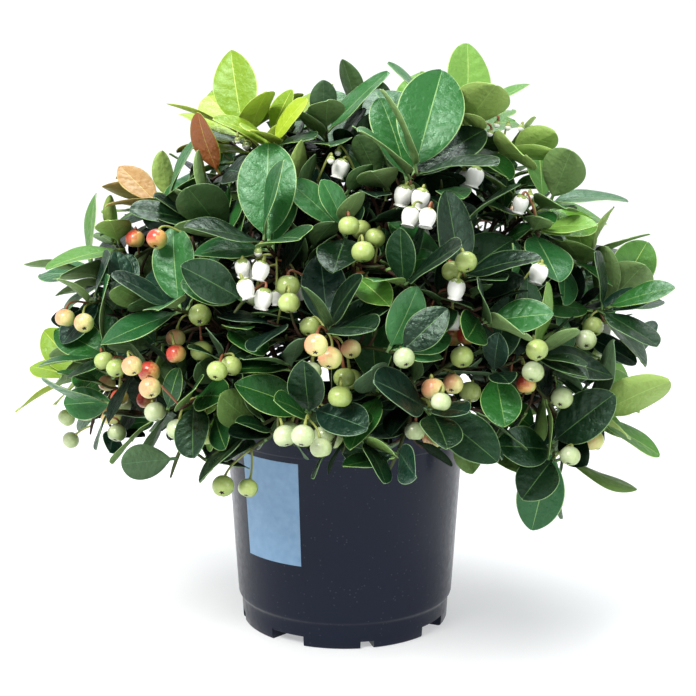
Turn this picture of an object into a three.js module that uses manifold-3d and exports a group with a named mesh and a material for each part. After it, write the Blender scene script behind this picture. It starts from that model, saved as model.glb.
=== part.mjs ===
// A wintergreen in its plastic nursery pot, in millimetres, +Z up.
// The origin is the middle of the pot's flat underside, and the front is towards -Y.
// A clump of thin woody stems rises from the potting mix. Each stem carries one mass of
// foliage: twigs that end in rosettes of leathery leaves, with berries and small bell
// flowers hanging under the leading rosette.
import * as THREE from "three";
import { mergeVertices } from "three/addons/utils/BufferGeometryUtils.js";
import Module from "manifold-3d";

const wasm = await Module();
wasm.setup();

// The pot: a 12 cm nursery pot with a collar, a slight taper and an inset, notched foot
const POT_HEIGHT = 105;
const POT_SIDES = 32;
const RIM_RADIUS = 60;
const RIM_THICKNESS = 2;
const RIM_ROUNDING = 0.8;
const COLLAR_RADIUS = 59.2;
const COLLAR_HEIGHT = 11;
const WALL_TOP_RADIUS = 57.6;
const WALL_FOOT_RADIUS = 52.6;
const WALL_THICKNESS = 1.2;
const FOOT_TOP_RADIUS = 51.2;
const FOOT_RADIUS = 50.6;
const FOOT_HEIGHT = 12;
const FOOT_SHOULDER = 2;
const FLOOR_THICKNESS = 6;
const NOTCH_PAIRS = 4;
const NOTCH_DEPTH = 16;
const WIDE_NOTCH = { turn: -33, width: 18, height: 4.5 };
const NARROW_NOTCH = { turn: 12, width: 6.5, height: 3.2 };

// The potting mix, and the short woody crown of the roots that stands on it
const CLEARANCE = 0.3;
const SOIL_LEVEL = 96;
const SOIL_SHOULDER = 3;
const CROWN_HEIGHT = 16;
const CROWN_FOOT_RADIUS = 9.5;
const CROWN_TOP_RADIUS = 7.6;
const CROWN_WAIST_RADIUS = 7.1;
const CROWN_SIDES = 16;

// The stems. A high mass stands on the root crown, and the others rise from the mix
const HEART = new THREE.Vector3(0, 0, 120);
const UP = new THREE.Vector3(0, 0, 1);
const CROWN_STEM_RISE = 55;
const CROWN_STEM_RING = 5.5;
const FOOT_RING_INNER = 8;
const FOOT_RING_GROWTH = 0.34;
const STEM_FORK = 0.55;
const STEM_LEAN = 0.3;
const STEM_CLIMB = 0.75;
const LOWEST_ARCH = 142;
const STEM_RADII = [1.7, 1.15];
const STEM_SIDES = 5;
const STEM_STEPS = 3;

// The twigs: the main one ends in the leading shoot, and side twigs fork off round it
const MAIN_TWIG_RADII = [1.15, 0.9];
const SIDE_TWIG_RADII = [0.95, 0.75];
const SIDE_TWIG_KNEE = 0.4;
const SIDE_TWIGS = 4;
const FIRST_FORK = 0.1;
const FORK_STEP = 0.11;
const SPROUT_STEP = 2.1;
const SHOOT_SPREAD = 30;
const SHOOT_SPREAD_JITTER = 9;
const SHOOT_SINK = 9;
const SHOOT_TURN_JITTER = 50;
const SHOOT_TRIES = 12;
const SHOOT_TURN_STEP = 24;
const SHOOT_OVERHANG = 5;
const LIGHT_PULL = 0.55;

// The leaves
const LEAD_LEAVES = 6;
const SIDE_LEAVES = 5;
const GOLDEN_ANGLE = 137.5;
const LEAF_SHAPE = 0.6;
const LEAF_FOLD = 0.2;
const LEAF_DROOP = 0.12;
const LEAF_SHOULDERS = [0.31, 0.76];
const LEAF_LIGHT_PULL = 0.7;
const STALK_SHARE = 0.12;
const ROOT_SHARE = 0.16;
const OLD_LEAF_LEAN = 80;
const YOUNG_LEAF_LEAN = 28;
const YOUNG_LEAF_SIZE = 0.78;
const LEAF_TURN_JITTER = 26;
const LEAF_LEAN_JITTER = 16;
const LEAF_OVERHANG = 28;
const LEAF_TRIES = 13;
const LEAF_TURN_STEP = 13;
const LEAF_LIFT_STEP = 3;
const LEAF_SHRINK = 0.965;
const LOWEST_LEAF = 96;

// The berries and the bells. Each outline is [radius, way from the stalk's end], for a
// radius of 1
const FRUIT = {
  berry: {
    radius: 5,
    length: 1.8,
    outline: [
      [0.94, 0.45],
      [0.9, 1.35],
    ],
  },
  bell: {
    radius: 3.2,
    length: 2.5,
    outline: [
      [1, 0.75],
      [0.62, 2.5],
    ],
  },
};
const FRUIT_SIDES = 6;
const STALK_RADIUS = 0.55;
const STALK_REACH = 9;
const STALK_DROP = 7;
const STALK_RISE = 1.5;
const STALK_FAN = 38;
const STALK_FAN_JITTER = 20;
const STALK_TURN_STEP = 16;
const STALK_DROP_STEP = 0.8;
const HANG_UNDER_LEAVES = 12;

// The masses of foliage. turn is the bearing of the leading shoot from the front in
// degrees, positive to the right; rise is its height in degrees and reach its distance from
// the heart of the plant; leaf is the length of a full leaf; lowest is the height under
// which none of its leaves hangs, where it isn't LOWEST_LEAF.
const MASSES = [
  { name: "top_front", turn: 28, rise: 57, reach: 126, leaf: 50, bell: 4 },
  { name: "top_left", turn: -62, rise: 66, reach: 132, leaf: 40, bell: 2 },
  { name: "top_middle", turn: -18, rise: 76, reach: 128, leaf: 38, bell: 2 },
  { name: "front_left_high", turn: -22, rise: 40, reach: 122, leaf: 42, bell: 4, berry: 2 },
  { name: "left_high", turn: -80, rise: 44, reach: 124, leaf: 36, berry: 3 },
  { name: "left_middle", turn: -86, rise: 23, reach: 134, leaf: 40, berry: 3, lowest: 90 },
  { name: "left_low", turn: -66, rise: 9, reach: 126, leaf: 38, berry: 4 },
  { name: "left_skirt", turn: -92, rise: -1, reach: 132, leaf: 36, berry: 2, lowest: 82 },
  { name: "front_left_middle", turn: -44, rise: 24, reach: 119, leaf: 38, berry: 2 },
  { name: "front_left_skirt", turn: -38, rise: 3, reach: 116, leaf: 36, berry: 3, lowest: 92 },
  { name: "front_middle", turn: -4, rise: 22, reach: 117, leaf: 38, berry: 4 },
  { name: "front_high", turn: 0, rise: 47, reach: 117, leaf: 36, berry: 4 },
  { name: "front_skirt", turn: -8, rise: 3, reach: 112, leaf: 36, berry: 3, lowest: 100 },
  { name: "front_right_skirt", turn: 19, rise: 4, reach: 114, leaf: 38, berry: 3, lowest: 100 },
  { name: "front_right_high", turn: 31, rise: 32, reach: 119, leaf: 42, bell: 1, berry: 3 },
  { name: "right_high", turn: 78, rise: 42, reach: 132, leaf: 42, bell: 3 },
  { name: "top_right", turn: 72, rise: 64, reach: 138, leaf: 42, bell: 2 },
  { name: "right_middle", turn: 84, rise: 17, reach: 134, leaf: 38, bell: 1, berry: 2 },
  { name: "right_low", turn: 48, rise: 13, reach: 120, leaf: 38, berry: 3 },
  { name: "right_skirt", turn: 68, rise: -5, reach: 126, leaf: 42, berry: 2, lowest: 60 },
  { name: "back_top", turn: 170, rise: 62, reach: 124, leaf: 42, berry: 2 },
  { name: "back_left_high", turn: -130, rise: 38, reach: 124, leaf: 40, berry: 2 },
  { name: "back_right_high", turn: 128, rise: 38, reach: 124, leaf: 40, bell: 2 },
  { name: "back_middle", turn: -178, rise: 28, reach: 122, leaf: 42, berry: 2 },
  { name: "back_left_low", turn: -124, rise: 7, reach: 122, leaf: 40, berry: 2, lowest: 84 },
  { name: "back_right_low", turn: 118, rise: 7, reach: 124, leaf: 40, berry: 2, lowest: 84 },
  { name: "back_skirt", turn: 164, rise: 0, reach: 118, leaf: 38, berry: 2, lowest: 80 },
];
const SEED = 4211;
const SEED_STEP = 7919;

const POT_BLACK = new THREE.MeshStandardMaterial({ color: 0x23242b, roughness: 0.55, metalness: 0 });
const SOIL_BROWN = new THREE.MeshStandardMaterial({ color: 0x2b1c12, roughness: 1, metalness: 0 });
const BARK_BROWN = new THREE.MeshStandardMaterial({ color: 0x6b4a2f, roughness: 0.9, metalness: 0 });
const LEAF_GREEN = new THREE.MeshStandardMaterial({ color: 0x24512c, roughness: 0.35, metalness: 0 });

function radians(degrees) {
  return (degrees * Math.PI) / 180;
}

function mix(from, to, share) {
  return from + (to - from) * share;
}

// The same draws every time, from one seed for each mass.
function seededRandom(seed) {
  const MODULUS = 2147483647;
  const FIRST_FACTOR = 16807;
  const FACTOR = 48271;
  let state = (seed * FIRST_FACTOR) % MODULUS;
  return () => {
    state = (state * FACTOR) % MODULUS;
    return state / MODULUS;
  };
}

// The first try is straight, and the next ones swing to either side in growing steps.
function swing(attempt) {
  return Math.ceil(attempt / 2) * (attempt % 2 ? 1 : -1);
}

// A unit vector at a bearing from the front and a height, both in degrees.
function heading(turn, rise) {
  const [bearing, height] = [radians(turn), radians(rise)];
  return new THREE.Vector3(
    Math.sin(bearing) * Math.cos(height),
    -Math.cos(bearing) * Math.cos(height),
    Math.sin(height),
  );
}

// Two unit vectors square to a direction and to each other.
function across(direction) {
  const STEEPEST = 0.05;
  const first = new THREE.Vector3().crossVectors(direction, UP);
  if (first.length() < STEEPEST) first.set(1, 0, 0).addScaledVector(direction, -direction.x);
  first.normalize();
  return [first, new THREE.Vector3().crossVectors(first, direction).normalize()];
}

// How a quadratic curve runs on at t, worked out from its three points.
function advance(curve, t) {
  const start = new THREE.Vector3().subVectors(curve.v1, curve.v0);
  const end = new THREE.Vector3().subVectors(curve.v2, curve.v1);
  return start.lerp(end, t).multiplyScalar(2);
}

function slope(curve, t) {
  return advance(curve, t).normalize();
}

// The unit vector square to the plane that a quadratic curve stays in.
function squareTo(curve) {
  const STRAIGHT = 1e-3;
  const square = new THREE.Vector3().crossVectors(slope(curve, 0), slope(curve, 1));
  return square.length() < STRAIGHT ? across(slope(curve, 0))[0] : square.normalize();
}

// The corners of a ring round a curve, in turning order as seen from further along it. The
// curve stays in one plane, so the rings don't twist.
function ringRound(curve, t, radius, sides, shift = 0) {
  const flat = squareTo(curve);
  const ahead = slope(curve, t);
  const aside = new THREE.Vector3().crossVectors(ahead, flat);
  const middle = curve.getPoint(t).addScaledVector(ahead, shift);
  return Array.from({ length: sides }, (_, k) => {
    const angle = (2 * Math.PI * k) / sides;
    return middle
      .clone()
      .addScaledVector(flat, radius * Math.cos(angle))
      .addScaledVector(aside, radius * Math.sin(angle));
  });
}

// A tapering limb along part of a quadratic curve, as corners and faces.
function limb(curve, [from, to], radii, steps, sides) {
  const corners = [];
  const faces = [];
  for (let ring = 0; ring <= steps; ring++) {
    const share = ring / steps;
    corners.push(...ringRound(curve, mix(from, to, share), mix(...radii, share), sides));
  }
  for (let ring = 0; ring < steps; ring++) {
    for (let k = 0; k < sides; k++) {
      const a = ring * sides + k;
      const b = ring * sides + ((k + 1) % sides);
      faces.push([a, b, b + sides], [a, b + sides, a + sides]);
    }
  }
  const last = steps * sides;
  for (let k = 1; k < sides - 1; k++) faces.push([0, k + 1, k], [last, last + k, last + k + 1]);
  return { corners, faces };
}

// Half the width of a leaf at a share of its length, 1 where it is widest.
function leafOutline(along) {
  const TOWARDS_STALK = 0.72;
  const TOWARDS_TIP = 0.58;
  const widest = TOWARDS_STALK / (TOWARDS_STALK + TOWARDS_TIP);
  const most = widest ** TOWARDS_STALK * (1 - widest) ** TOWARDS_TIP;
  return (along ** TOWARDS_STALK * (1 - along) ** TOWARDS_TIP) / most;
}

// A point of a leaf's folded, drooping surface: along runs from the stalk to the tip, and
// aside from edge to edge.
function bladePoint(leaf, along, aside) {
  const reach = leaf.length * (STALK_SHARE + along);
  const half = (leaf.width / 2) * leafOutline(along);
  const height = LEAF_FOLD * Math.abs(aside) * half - (leaf.droop * reach * reach) / leaf.length;
  return leaf.root
    .clone()
    .addScaledVector(leaf.direction, reach)
    .addScaledVector(leaf.side, aside * half)
    .addScaledVector(leaf.normal, height);
}

// The room that things keep from each other, as closed shapes a little larger than they are

// A closed shape ready for the touch test: its corners, faces, edges and bounding sphere.
function shell({ corners, faces }) {
  const middle = corners.reduce((sum, c) => sum.add(c), new THREE.Vector3());
  middle.divideScalar(corners.length);
  const radius = Math.max(...corners.map((c) => c.distanceTo(middle)));
  const edges = faces
    .flatMap(([a, b, c]) => [
      [a, b],
      [b, c],
      [c, a],
    ])
    .filter(([from, to]) => from < to);
  return { corners, faces, edges, middle, radius };
}

function limbShell(curve, span, radii, steps, sides) {
  const ROOM = 0.6;
  const roomy = radii.map((radius) => radius + ROOM);
  return shell(limb(curve, span, roomy, steps, sides));
}

// The space of a leaf from a share of its length on.
function leafShell(leaf, start) {
  const EDGE_ROOM = 1.4;
  const FACE_ROOM = 1.2;
  const THICKEST = 0.4;
  const roomy = { ...leaf, width: leaf.width + EDGE_ROOM, length: leaf.length + EDGE_ROOM / 2 };
  const [near, far] = LEAF_SHOULDERS;
  const tip = bladePoint(roomy, 1, 0);
  const rib = (share) => leaf.root.clone().lerp(tip, share);
  const corners = [
    rib(start),
    bladePoint(roomy, near, 1),
    bladePoint(roomy, far, 1),
    tip,
    bladePoint(roomy, far, -1),
    bladePoint(roomy, near, -1),
    rib(THICKEST).addScaledVector(leaf.normal, FACE_ROOM),
    rib(THICKEST).addScaledVector(leaf.normal, -FACE_ROOM),
  ];
  const faces = [];
  for (let k = 0; k < 6; k++) faces.push([6, (k + 1) % 6, k], [7, k, (k + 1) % 6]);
  return shell({ corners, faces });
}

// The space of a berry or bell, as a box along its stalk's end.
function fruitShell(stalk, radius, length) {
  const ROOM = 1.05;
  const corners = [0, length * ROOM].flatMap((way) =>
    ringRound(stalk, 1, radius * ROOM * Math.SQRT2, 4, way),
  );
  const faces = [
    [0, 2, 1],
    [0, 3, 2],
    [4, 5, 6],
    [4, 6, 7],
  ];
  for (let k = 0; k < 4; k++) {
    const next = (k + 1) % 4;
    faces.push([k, next, 4 + next], [k, 4 + next, 4 + k]);
  }
  return shell({ corners, faces });
}

// True where the segment from p to q goes through the triangle a, b, c.
function pierces(p, q, a, b, c) {
  const FLAT = 1e-9;
  const way = new THREE.Vector3().subVectors(q, p);
  const ab = new THREE.Vector3().subVectors(b, a);
  const ac = new THREE.Vector3().subVectors(c, a);
  const h = new THREE.Vector3().crossVectors(way, ac);
  const turn = ab.dot(h);
  if (Math.abs(turn) < FLAT) return false;
  const ap = new THREE.Vector3().subVectors(p, a);
  const u = ap.dot(h) / turn;
  if (u < 0 || u > 1) return false;
  const k = ap.cross(ab);
  const v = way.dot(k) / turn;
  if (v < 0 || u + v > 1) return false;
  const t = ac.dot(k) / turn;
  return t >= 0 && t <= 1;
}

function cross(one, other) {
  if (one.middle.distanceTo(other.middle) > one.radius + other.radius) return false;
  const pierce = (edged, faced) =>
    edged.edges.some(([p, q]) =>
      faced.faces.some((face) =>
        pierces(edged.corners[p], edged.corners[q], ...face.map((k) => faced.corners[k])),
      ),
    );
  return pierce(one, other) || pierce(other, one);
}

// Everything grown so far: its space, the part of that space away from its root, the twig
// it springs from and the twig that it is.
const grown = [];

// A thing may meet the twig it springs from, and a side twig its neighbours, near the root.
function touches({ whole, part, parent, twig }) {
  return grown.some((other) => {
    const beside = Boolean(twig && other.twig && other.parent === parent);
    const mine = beside || (parent && other.twig === parent) ? part : whole;
    return cross(mine, beside ? other.part : other.whole);
  });
}

// True where a shape would run into the pot or hang below a level.
function meetsPot({ corners, edges }, lowest) {
  const ROOM = 1.5;
  const middles = edges.map(([a, b]) => corners[a].clone().lerp(corners[b], 0.5));
  return [...corners, ...middles].some(
    (p) => p.z < lowest || (p.z < POT_HEIGHT + ROOM && Math.hypot(p.x, p.y) < RIM_RADIUS + ROOM),
  );
}

// A mass keeps to the points that lie nearest its own leading shoot, with some overhang.
function inOwnSpace(mass, point, overhang) {
  const own = mass.lead.distanceTo(point);
  return masses.every((other) => other === mass || other.lead.distanceTo(point) > own - overhang);
}

// Growth

// The route of a stem and of its mass's main twig, from the foot to the leading shoot.
function planMass(row, index) {
  const out = heading(row.turn, row.rise);
  const lead = HEART.clone().addScaledVector(out, row.reach);
  const onCrown = row.rise > CROWN_STEM_RISE;
  const ring = onCrown ? CROWN_STEM_RING : FOOT_RING_INNER + FOOT_RING_GROWTH * (90 - row.rise);
  const level = SOIL_LEVEL + CLEARANCE + (onCrown ? CROWN_HEIGHT + CLEARANCE : 0);
  const foot = heading(row.turn, 0).multiplyScalar(ring).setZ(level);
  const bend = foot.clone().lerp(lead, STEM_LEAN);
  bend.z = Math.max(mix(foot.z, lead.z, STEM_CLIMB), LOWEST_ARCH);
  const path = new THREE.QuadraticBezierCurve3(foot, bend, lead);
  const random = seededRandom(SEED + SEED_STEP * index);
  return { bell: 0, berry: 0, lowest: LOWEST_LEAF, ...row, out, lead, path, random, shoots: [] };
}

// A random number about 0, up to half the span either way.
function jitter(mass, span) {
  return (mass.random() - 0.5) * span;
}

// A three-sided twig with rings at stops along its curve. Each fork and each sprout has a
// short step between two stops, and springs from one face of it.
function planTwig(curve, from, radii, forks, sprouts) {
  const step = SPROUT_STEP / (advance(curve, 1).length() * (1 - from));
  const stops = [0];
  for (const fork of forks) stops.push(fork - step / 2, fork + step / 2);
  if (!forks.length) stops.push(SIDE_TWIG_KNEE);
  for (let k = sprouts; k >= 0; k--) stops.push(1 - k * step);
  return { curve, from, radii, stops, taken: new Map() };
}

function forkStep(order) {
  return 1 + 2 * order;
}

function sproutStep(twig, fromTip) {
  return twig.stops.length - 2 - fromTip;
}

function twigRing(twig, index) {
  const share = twig.stops[index];
  return ringRound(twig.curve, mix(twig.from, 1, share), mix(...twig.radii, share), 3);
}

// The free face of a twig's short step that looks most along a direction, and its middle.
function findPlace(twig, step, direction) {
  const [lower, upper] = [twigRing(twig, step), twigRing(twig, step + 1)];
  const middle = lower[0].clone().add(lower[1]).add(lower[2]).divideScalar(3);
  let best = { facing: -Infinity };
  for (let side = 0; side < 3; side++) {
    const next = (side + 1) % 3;
    const outwards = lower[side].clone().lerp(lower[next], 0.5).sub(middle).normalize();
    const facing = outwards.dot(direction);
    const root = lower[side].clone().add(lower[next]).add(upper[next]).divideScalar(3);
    if (facing > best.facing && !twig.taken.has(faceKey(step, side)))
      best = { facing, twig, step, side, root };
  }
  return best;
}

function faceKey(step, side) {
  return `${step} ${side}`;
}

// A side of a step is taken whole, by what has four corners at its root, or only by half.
function take({ twig, step, side }, whole = false) {
  twig.taken.set(faceKey(step, side), whole ? "whole" : "half");
}

// A shoot: a twig, the way the rosette at its tip faces, and the size of its leaves.
function addShoot(mass, twig, size, leafCount, space) {
  const axis = slope(twig.curve, 1).addScaledVector(UP, LIGHT_PULL).normalize();
  mass.shoots.push({ twig, axis, size, leafCount, leaves: [], fruit: [] });
  grown.push({ ...space, twig });
}

function addMainShoot(mass) {
  const SHELL_STEPS = 3;
  const { path } = mass;
  const from = STEM_FORK + CLEARANCE / advance(path, STEM_FORK).length();
  const forks = Array.from({ length: SIDE_TWIGS }, (_, k) => FIRST_FORK + FORK_STEP * k);
  const twig = planTwig(path, from, MAIN_TWIG_RADII, forks, LEAD_LEAVES + mass.bell + mass.berry);
  const space = limbShell(path, [from, 1], twig.radii, SHELL_STEPS, 3);
  grown.push({ whole: limbShell(path, [0, STEM_FORK], STEM_RADII, STEM_STEPS, STEM_SIDES) });
  addShoot(mass, twig, 1, LEAD_LEAVES, { whole: space, part: space });
}

// A side shoot on its own twig, round the leading one. One that would leave the mass's
// space, or whose twig touches anything, is skipped.
function addSideShoot(mass, order) {
  const SHELL_STEPS = 2;
  const CLEAR_FROM = 0.3;
  const [first, second] = across(mass.out);
  const turn = (order * 360) / SIDE_TWIGS + jitter(mass, SHOOT_TURN_JITTER);
  const spread = SHOOT_SPREAD + jitter(mass, SHOOT_SPREAD_JITTER);
  const sink = SHOOT_SINK * mix(0.3, 1.7, mass.random());
  const size = mix(0.82, 1, mass.random());
  const parent = mass.shoots[0].twig;
  const base = parent.curve.getPoint(parent.from);
  const onwards = slope(mass.path, mix(parent.from, 1, FIRST_FORK + FORK_STEP * order));
  for (let attempt = 0; attempt < SHOOT_TRIES; attempt++) {
    const angle = radians(turn + swing(attempt) * SHOOT_TURN_STEP);
    const tip = mass.lead
      .clone()
      .addScaledVector(first, spread * Math.cos(angle))
      .addScaledVector(second, spread * Math.sin(angle))
      .addScaledVector(mass.out, -sink);
    if (!inOwnSpace(mass, tip, SHOOT_OVERHANG)) continue;
    const place = findPlace(parent, forkStep(order), tip.clone().sub(base));
    const bend = place.root.clone().lerp(tip, 0.3);
    bend.addScaledVector(onwards, 0.28 * place.root.distanceTo(tip));
    const curve = new THREE.QuadraticBezierCurve3(place.root, bend, tip);
    const twig = planTwig(curve, 0, SIDE_TWIG_RADII, [], SIDE_LEAVES);
    const whole = limbShell(curve, [0.05, 1], twig.radii, SHELL_STEPS, 3);
    const part = limbShell(curve, [CLEAR_FROM, 1], twig.radii, SHELL_STEPS, 3);
    if (meetsPot(part, mass.lowest) || touches({ whole, part, parent, twig })) continue;
    twig.place = place;
    take(place);
    addShoot(mass, twig, size, SIDE_LEAVES, { whole, part, parent });
    return;
  }
}

// One leaf of a rosette, turned, lifted and shortened a little at each try until it
// touches nothing. The oldest come first and sit lowest.
function growLeaf(mass, shoot, order, phase) {
  const share = order / (shoot.leafCount - 1);
  const [first, second] = across(shoot.axis);
  const restTurn = phase + order * GOLDEN_ANGLE + jitter(mass, LEAF_TURN_JITTER);
  const restLean = mix(OLD_LEAF_LEAN, YOUNG_LEAF_LEAN, share) + jitter(mass, LEAF_LEAN_JITTER);
  const sizeDraw = mix(0.86, 1.1, mass.random());
  const droop = LEAF_DROOP * mix(0.4, 1.6, mass.random());
  const fullLength = mass.leaf * shoot.size * sizeDraw * mix(1, YOUNG_LEAF_SIZE, share);
  const step = sproutStep(shoot.twig, shoot.leafCount - 1 - order);
  for (let attempt = 0; attempt < LEAF_TRIES; attempt++) {
    const turn = radians(restTurn + swing(attempt) * LEAF_TURN_STEP);
    const lean = radians(restLean - attempt * LEAF_LIFT_STEP);
    const direction = shoot.axis
      .clone()
      .multiplyScalar(Math.cos(lean))
      .addScaledVector(first, Math.sin(lean) * Math.cos(turn))
      .addScaledVector(second, Math.sin(lean) * Math.sin(turn));
    const normal = shoot.axis.clone().addScaledVector(UP, LEAF_LIGHT_PULL);
    normal.addScaledVector(direction, -normal.dot(direction)).normalize();
    const side = new THREE.Vector3().crossVectors(normal, direction);
    const place = findPlace(shoot.twig, step, direction);
    const length = fullLength * LEAF_SHRINK ** attempt;
    const width = length * LEAF_SHAPE;
    const leaf = { place, root: place.root, direction, normal, side, length, width, droop };
    const [whole, part] = [leafShell(leaf, 0), leafShell(leaf, ROOT_SHARE)];
    if (!inOwnSpace(mass, bladePoint(leaf, 1, 0), LEAF_OVERHANG)) continue;
    if (meetsPot(whole, mass.lowest)) continue;
    if (touches({ whole, part, parent: shoot.twig })) continue;
    grown.push({ whole, part, parent: shoot.twig });
    take(place, true);
    shoot.leaves.push(leaf);
    return;
  }
}

// The berries or bells of a mass, on stalks that arch outwards and down from below the
// leaves of its leading shoot. One that finds no free place is skipped.
function growFruit(mass, kind, stepsAbove) {
  const [shoot] = mass.shoots;
  const lowest = mass.lowest - HANG_UNDER_LEAVES;
  const { radius, length } = FRUIT[kind];
  const outwards = mass.out.clone().addScaledVector(shoot.axis, 0.3);
  const bearing = (Math.atan2(outwards.x, -outwards.y) * 180) / Math.PI;
  for (let order = 0; order < mass[kind]; order++) {
    const fan = (order - (mass[kind] - 1) / 2) * STALK_FAN + jitter(mass, STALK_FAN_JITTER);
    const reach = STALK_REACH * mix(0.75, 1.2, mass.random());
    const drop = STALK_DROP * mix(0.7, 1.7, mass.random());
    const size = radius * mix(0.82, 1.06, mass.random());
    const step = sproutStep(shoot.twig, stepsAbove + order);
    for (let attempt = 0; attempt < LEAF_TRIES; attempt++) {
      const way = heading(bearing + fan + swing(attempt) * STALK_TURN_STEP, 0);
      const place = findPlace(shoot.twig, step, way);
      const bend = place.root.clone().addScaledVector(way, reach * 0.8);
      bend.z += STALK_RISE;
      const end = place.root.clone().addScaledVector(way, reach);
      end.z -= drop + attempt * STALK_DROP_STEP;
      const stalk = new THREE.QuadraticBezierCurve3(place.root, bend, end);
      const ball = fruitShell(stalk, size, length * size);
      const radii = [STALK_RADIUS, STALK_RADIUS];
      const whole = limbShell(stalk, [0.1, 0.9], radii, 2, 3);
      const part = limbShell(stalk, [0.4, 0.9], radii, 1, 3);
      if (meetsPot(ball, lowest) || meetsPot(part, lowest) || touches({ whole: ball })) continue;
      if (touches({ whole, part, parent: shoot.twig })) continue;
      grown.push({ whole: ball }, { whole, part, parent: shoot.twig });
      take(place);
      shoot.fruit.push({ kind, place, stalk, size });
      break;
    }
  }
}

function growRosette(mass, shoot) {
  const phase = mass.random() * 360;
  for (let order = 0; order < shoot.leafCount; order++) growLeaf(mass, shoot, order, phase);
}

// Twigs come first, then the fruit, then the leaves round them, a shoot of every mass in
// turn.
const masses = MASSES.map(planMass);
masses.forEach(addMainShoot);
for (let order = 0; order < SIDE_TWIGS; order++)
  for (const mass of masses) addSideShoot(mass, order);
for (const mass of masses) {
  growFruit(mass, "bell", LEAD_LEAVES);
  growFruit(mass, "berry", LEAD_LEAVES + mass.bell);
}
for (let order = 0; order <= SIDE_TWIGS; order++)
  for (const mass of masses) if (mass.shoots[order]) growRosette(mass, mass.shoots[order]);

// Surfaces and meshes

function geometryOf({ corners, faces }) {
  const geometry = new THREE.BufferGeometry().setFromPoints(corners);
  geometry.setIndex(faces.flat());
  geometry.computeVertexNormals();
  return geometry;
}

// How far a point lies above the plane of a face.
function depth(point, a, b, c) {
  const normal = b.clone().sub(a).cross(c.clone().sub(a)).normalize();
  return point.clone().sub(a).dot(normal);
}

// The growing surface of one mass. Whatever grows on a twig leaves a side of it open, or
// half of that side, and springs from its corners, so all of it is one closed body.
class MassSurface {
  constructor() {
    this.corners = [];
    this.faces = [];
    this.rings = new Map();
  }

  add(points) {
    return points.map((point) => this.corners.push(point) - 1);
  }

  // The wall between two rings of as many corners, except what is left open.
  addWall(lower, upper, taken = () => undefined) {
    for (let k = 0; k < lower.length; k++) {
      const next = (k + 1) % lower.length;
      if (!taken(k)) this.faces.push([lower[k], lower[next], upper[next]]);
      if (taken(k) !== "whole") this.faces.push([lower[k], upper[next], upper[k]]);
    }
  }

  // The corners of an open side, or of half of it, started at the one from which they fit
  // best. The misfit is worked out from the corners in their order.
  openCorners({ twig, step, side }, misfit) {
    const next = (side + 1) % 3;
    const [lower, upper] = [this.rings.get(twig)[step], this.rings.get(twig)[step + 1]];
    const open = [lower[side], lower[next], upper[next], upper[side]];
    const corner = twig.taken.get(faceKey(step, side)) === "whole" ? open : open.slice(0, 3);
    const orders = corner.map((_, by) => [...corner.slice(by), ...corner.slice(0, by)]);
    const misfits = orders.map((order) => misfit(order.map((at) => this.corners[at])));
    return orders[misfits.indexOf(Math.min(...misfits))];
  }

  // Half of an open side, from the corner from which a ring to come is least twisted.
  openRing(place, ring) {
    const twist = (order) => order.reduce((sum, point, k) => sum + point.distanceTo(ring[k]), 0);
    return this.openCorners(place, twist);
  }

  addTwig(twig) {
    const rings = [];
    for (let k = 0; k < twig.stops.length; k++) {
      const points = twigRing(twig, k);
      const springs = k === 0 && twig.place;
      rings.push(springs ? this.openRing(twig.place, points) : this.add(points));
      const taken = (side) => twig.taken.get(faceKey(k - 1, side));
      if (k > 0) this.addWall(rings[k - 1], rings[k], taken);
    }
    if (!twig.place) this.faces.push([...rings[0]].reverse());
    this.faces.push(rings[rings.length - 1]);
    this.rings.set(twig, rings);
  }

  // A folded blade that opens from the four corners of a side, started so that the corners
  // under it lie as far as they can below the planes of its upper faces.
  addLeaf(leaf) {
    const [near, far] = LEAF_SHOULDERS;
    const edge = [
      bladePoint(leaf, near, 1),
      bladePoint(leaf, far, 1),
      bladePoint(leaf, 1, 0),
      bladePoint(leaf, far, -1),
      bladePoint(leaf, near, -1),
    ];
    const sunk = ([rightUnder, leftUnder, left, right]) =>
      Math.max(
        depth(leftUnder, left, edge[1], edge[0]),
        depth(leftUnder, left, edge[2], edge[1]),
        depth(rightUnder, right, edge[4], edge[3]),
        depth(rightUnder, right, edge[3], edge[2]),
      );
    const [rightUnder, leftUnder, left, right] = this.openCorners(leaf.place, sunk);
    const [left1, left2, tip, right2, right1] = this.add(edge);
    this.faces.push([left, right, tip], [left, tip, left2], [left, left2, left1]);
    this.faces.push([right, right1, right2], [right, right2, tip]);
    this.faces.push([leftUnder, left1, left2], [leftUnder, left2, tip]);
    this.faces.push([rightUnder, tip, right2], [rightUnder, right2, right1]);
    this.faces.push([leftUnder, tip, rightUnder]);
    this.faces.push([left, left1, leftUnder], [right, rightUnder, right1]);
  }

  // A stalk that widens into a berry or bell.
  addFruit({ kind, place, stalk, size }) {
    const { outline, length } = FRUIT[kind];
    const [middle, end] = [0.5, 1].map((t) => ringRound(stalk, t, STALK_RADIUS, 3));
    const rings = [this.openRing(place, middle), this.add(middle), this.add(end)];
    this.addWall(rings[0], rings[1]);
    this.addWall(rings[1], rings[2]);
    const [upper, lower] = outline.map(([radius, way]) =>
      this.add(ringRound(stalk, 1, radius * size, FRUIT_SIDES, way * size)),
    );
    for (let k = 0; k < 3; k++) {
      const next = (k + 1) % 3;
      const [a, b, c] = [upper[2 * k], upper[2 * k + 1], upper[2 * next]];
      const [from, to] = [rings[2][k], rings[2][next]];
      this.faces.push([from, b, a], [from, to, b], [to, c, b]);
    }
    this.addWall(upper, lower);
    const [pole] = this.add([stalk.getPoint(1).addScaledVector(slope(stalk, 1), length * size)]);
    for (let k = 0; k < FRUIT_SIDES; k++)
      this.faces.push([lower[k], lower[(k + 1) % FRUIT_SIDES], pole]);
  }
}

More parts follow.
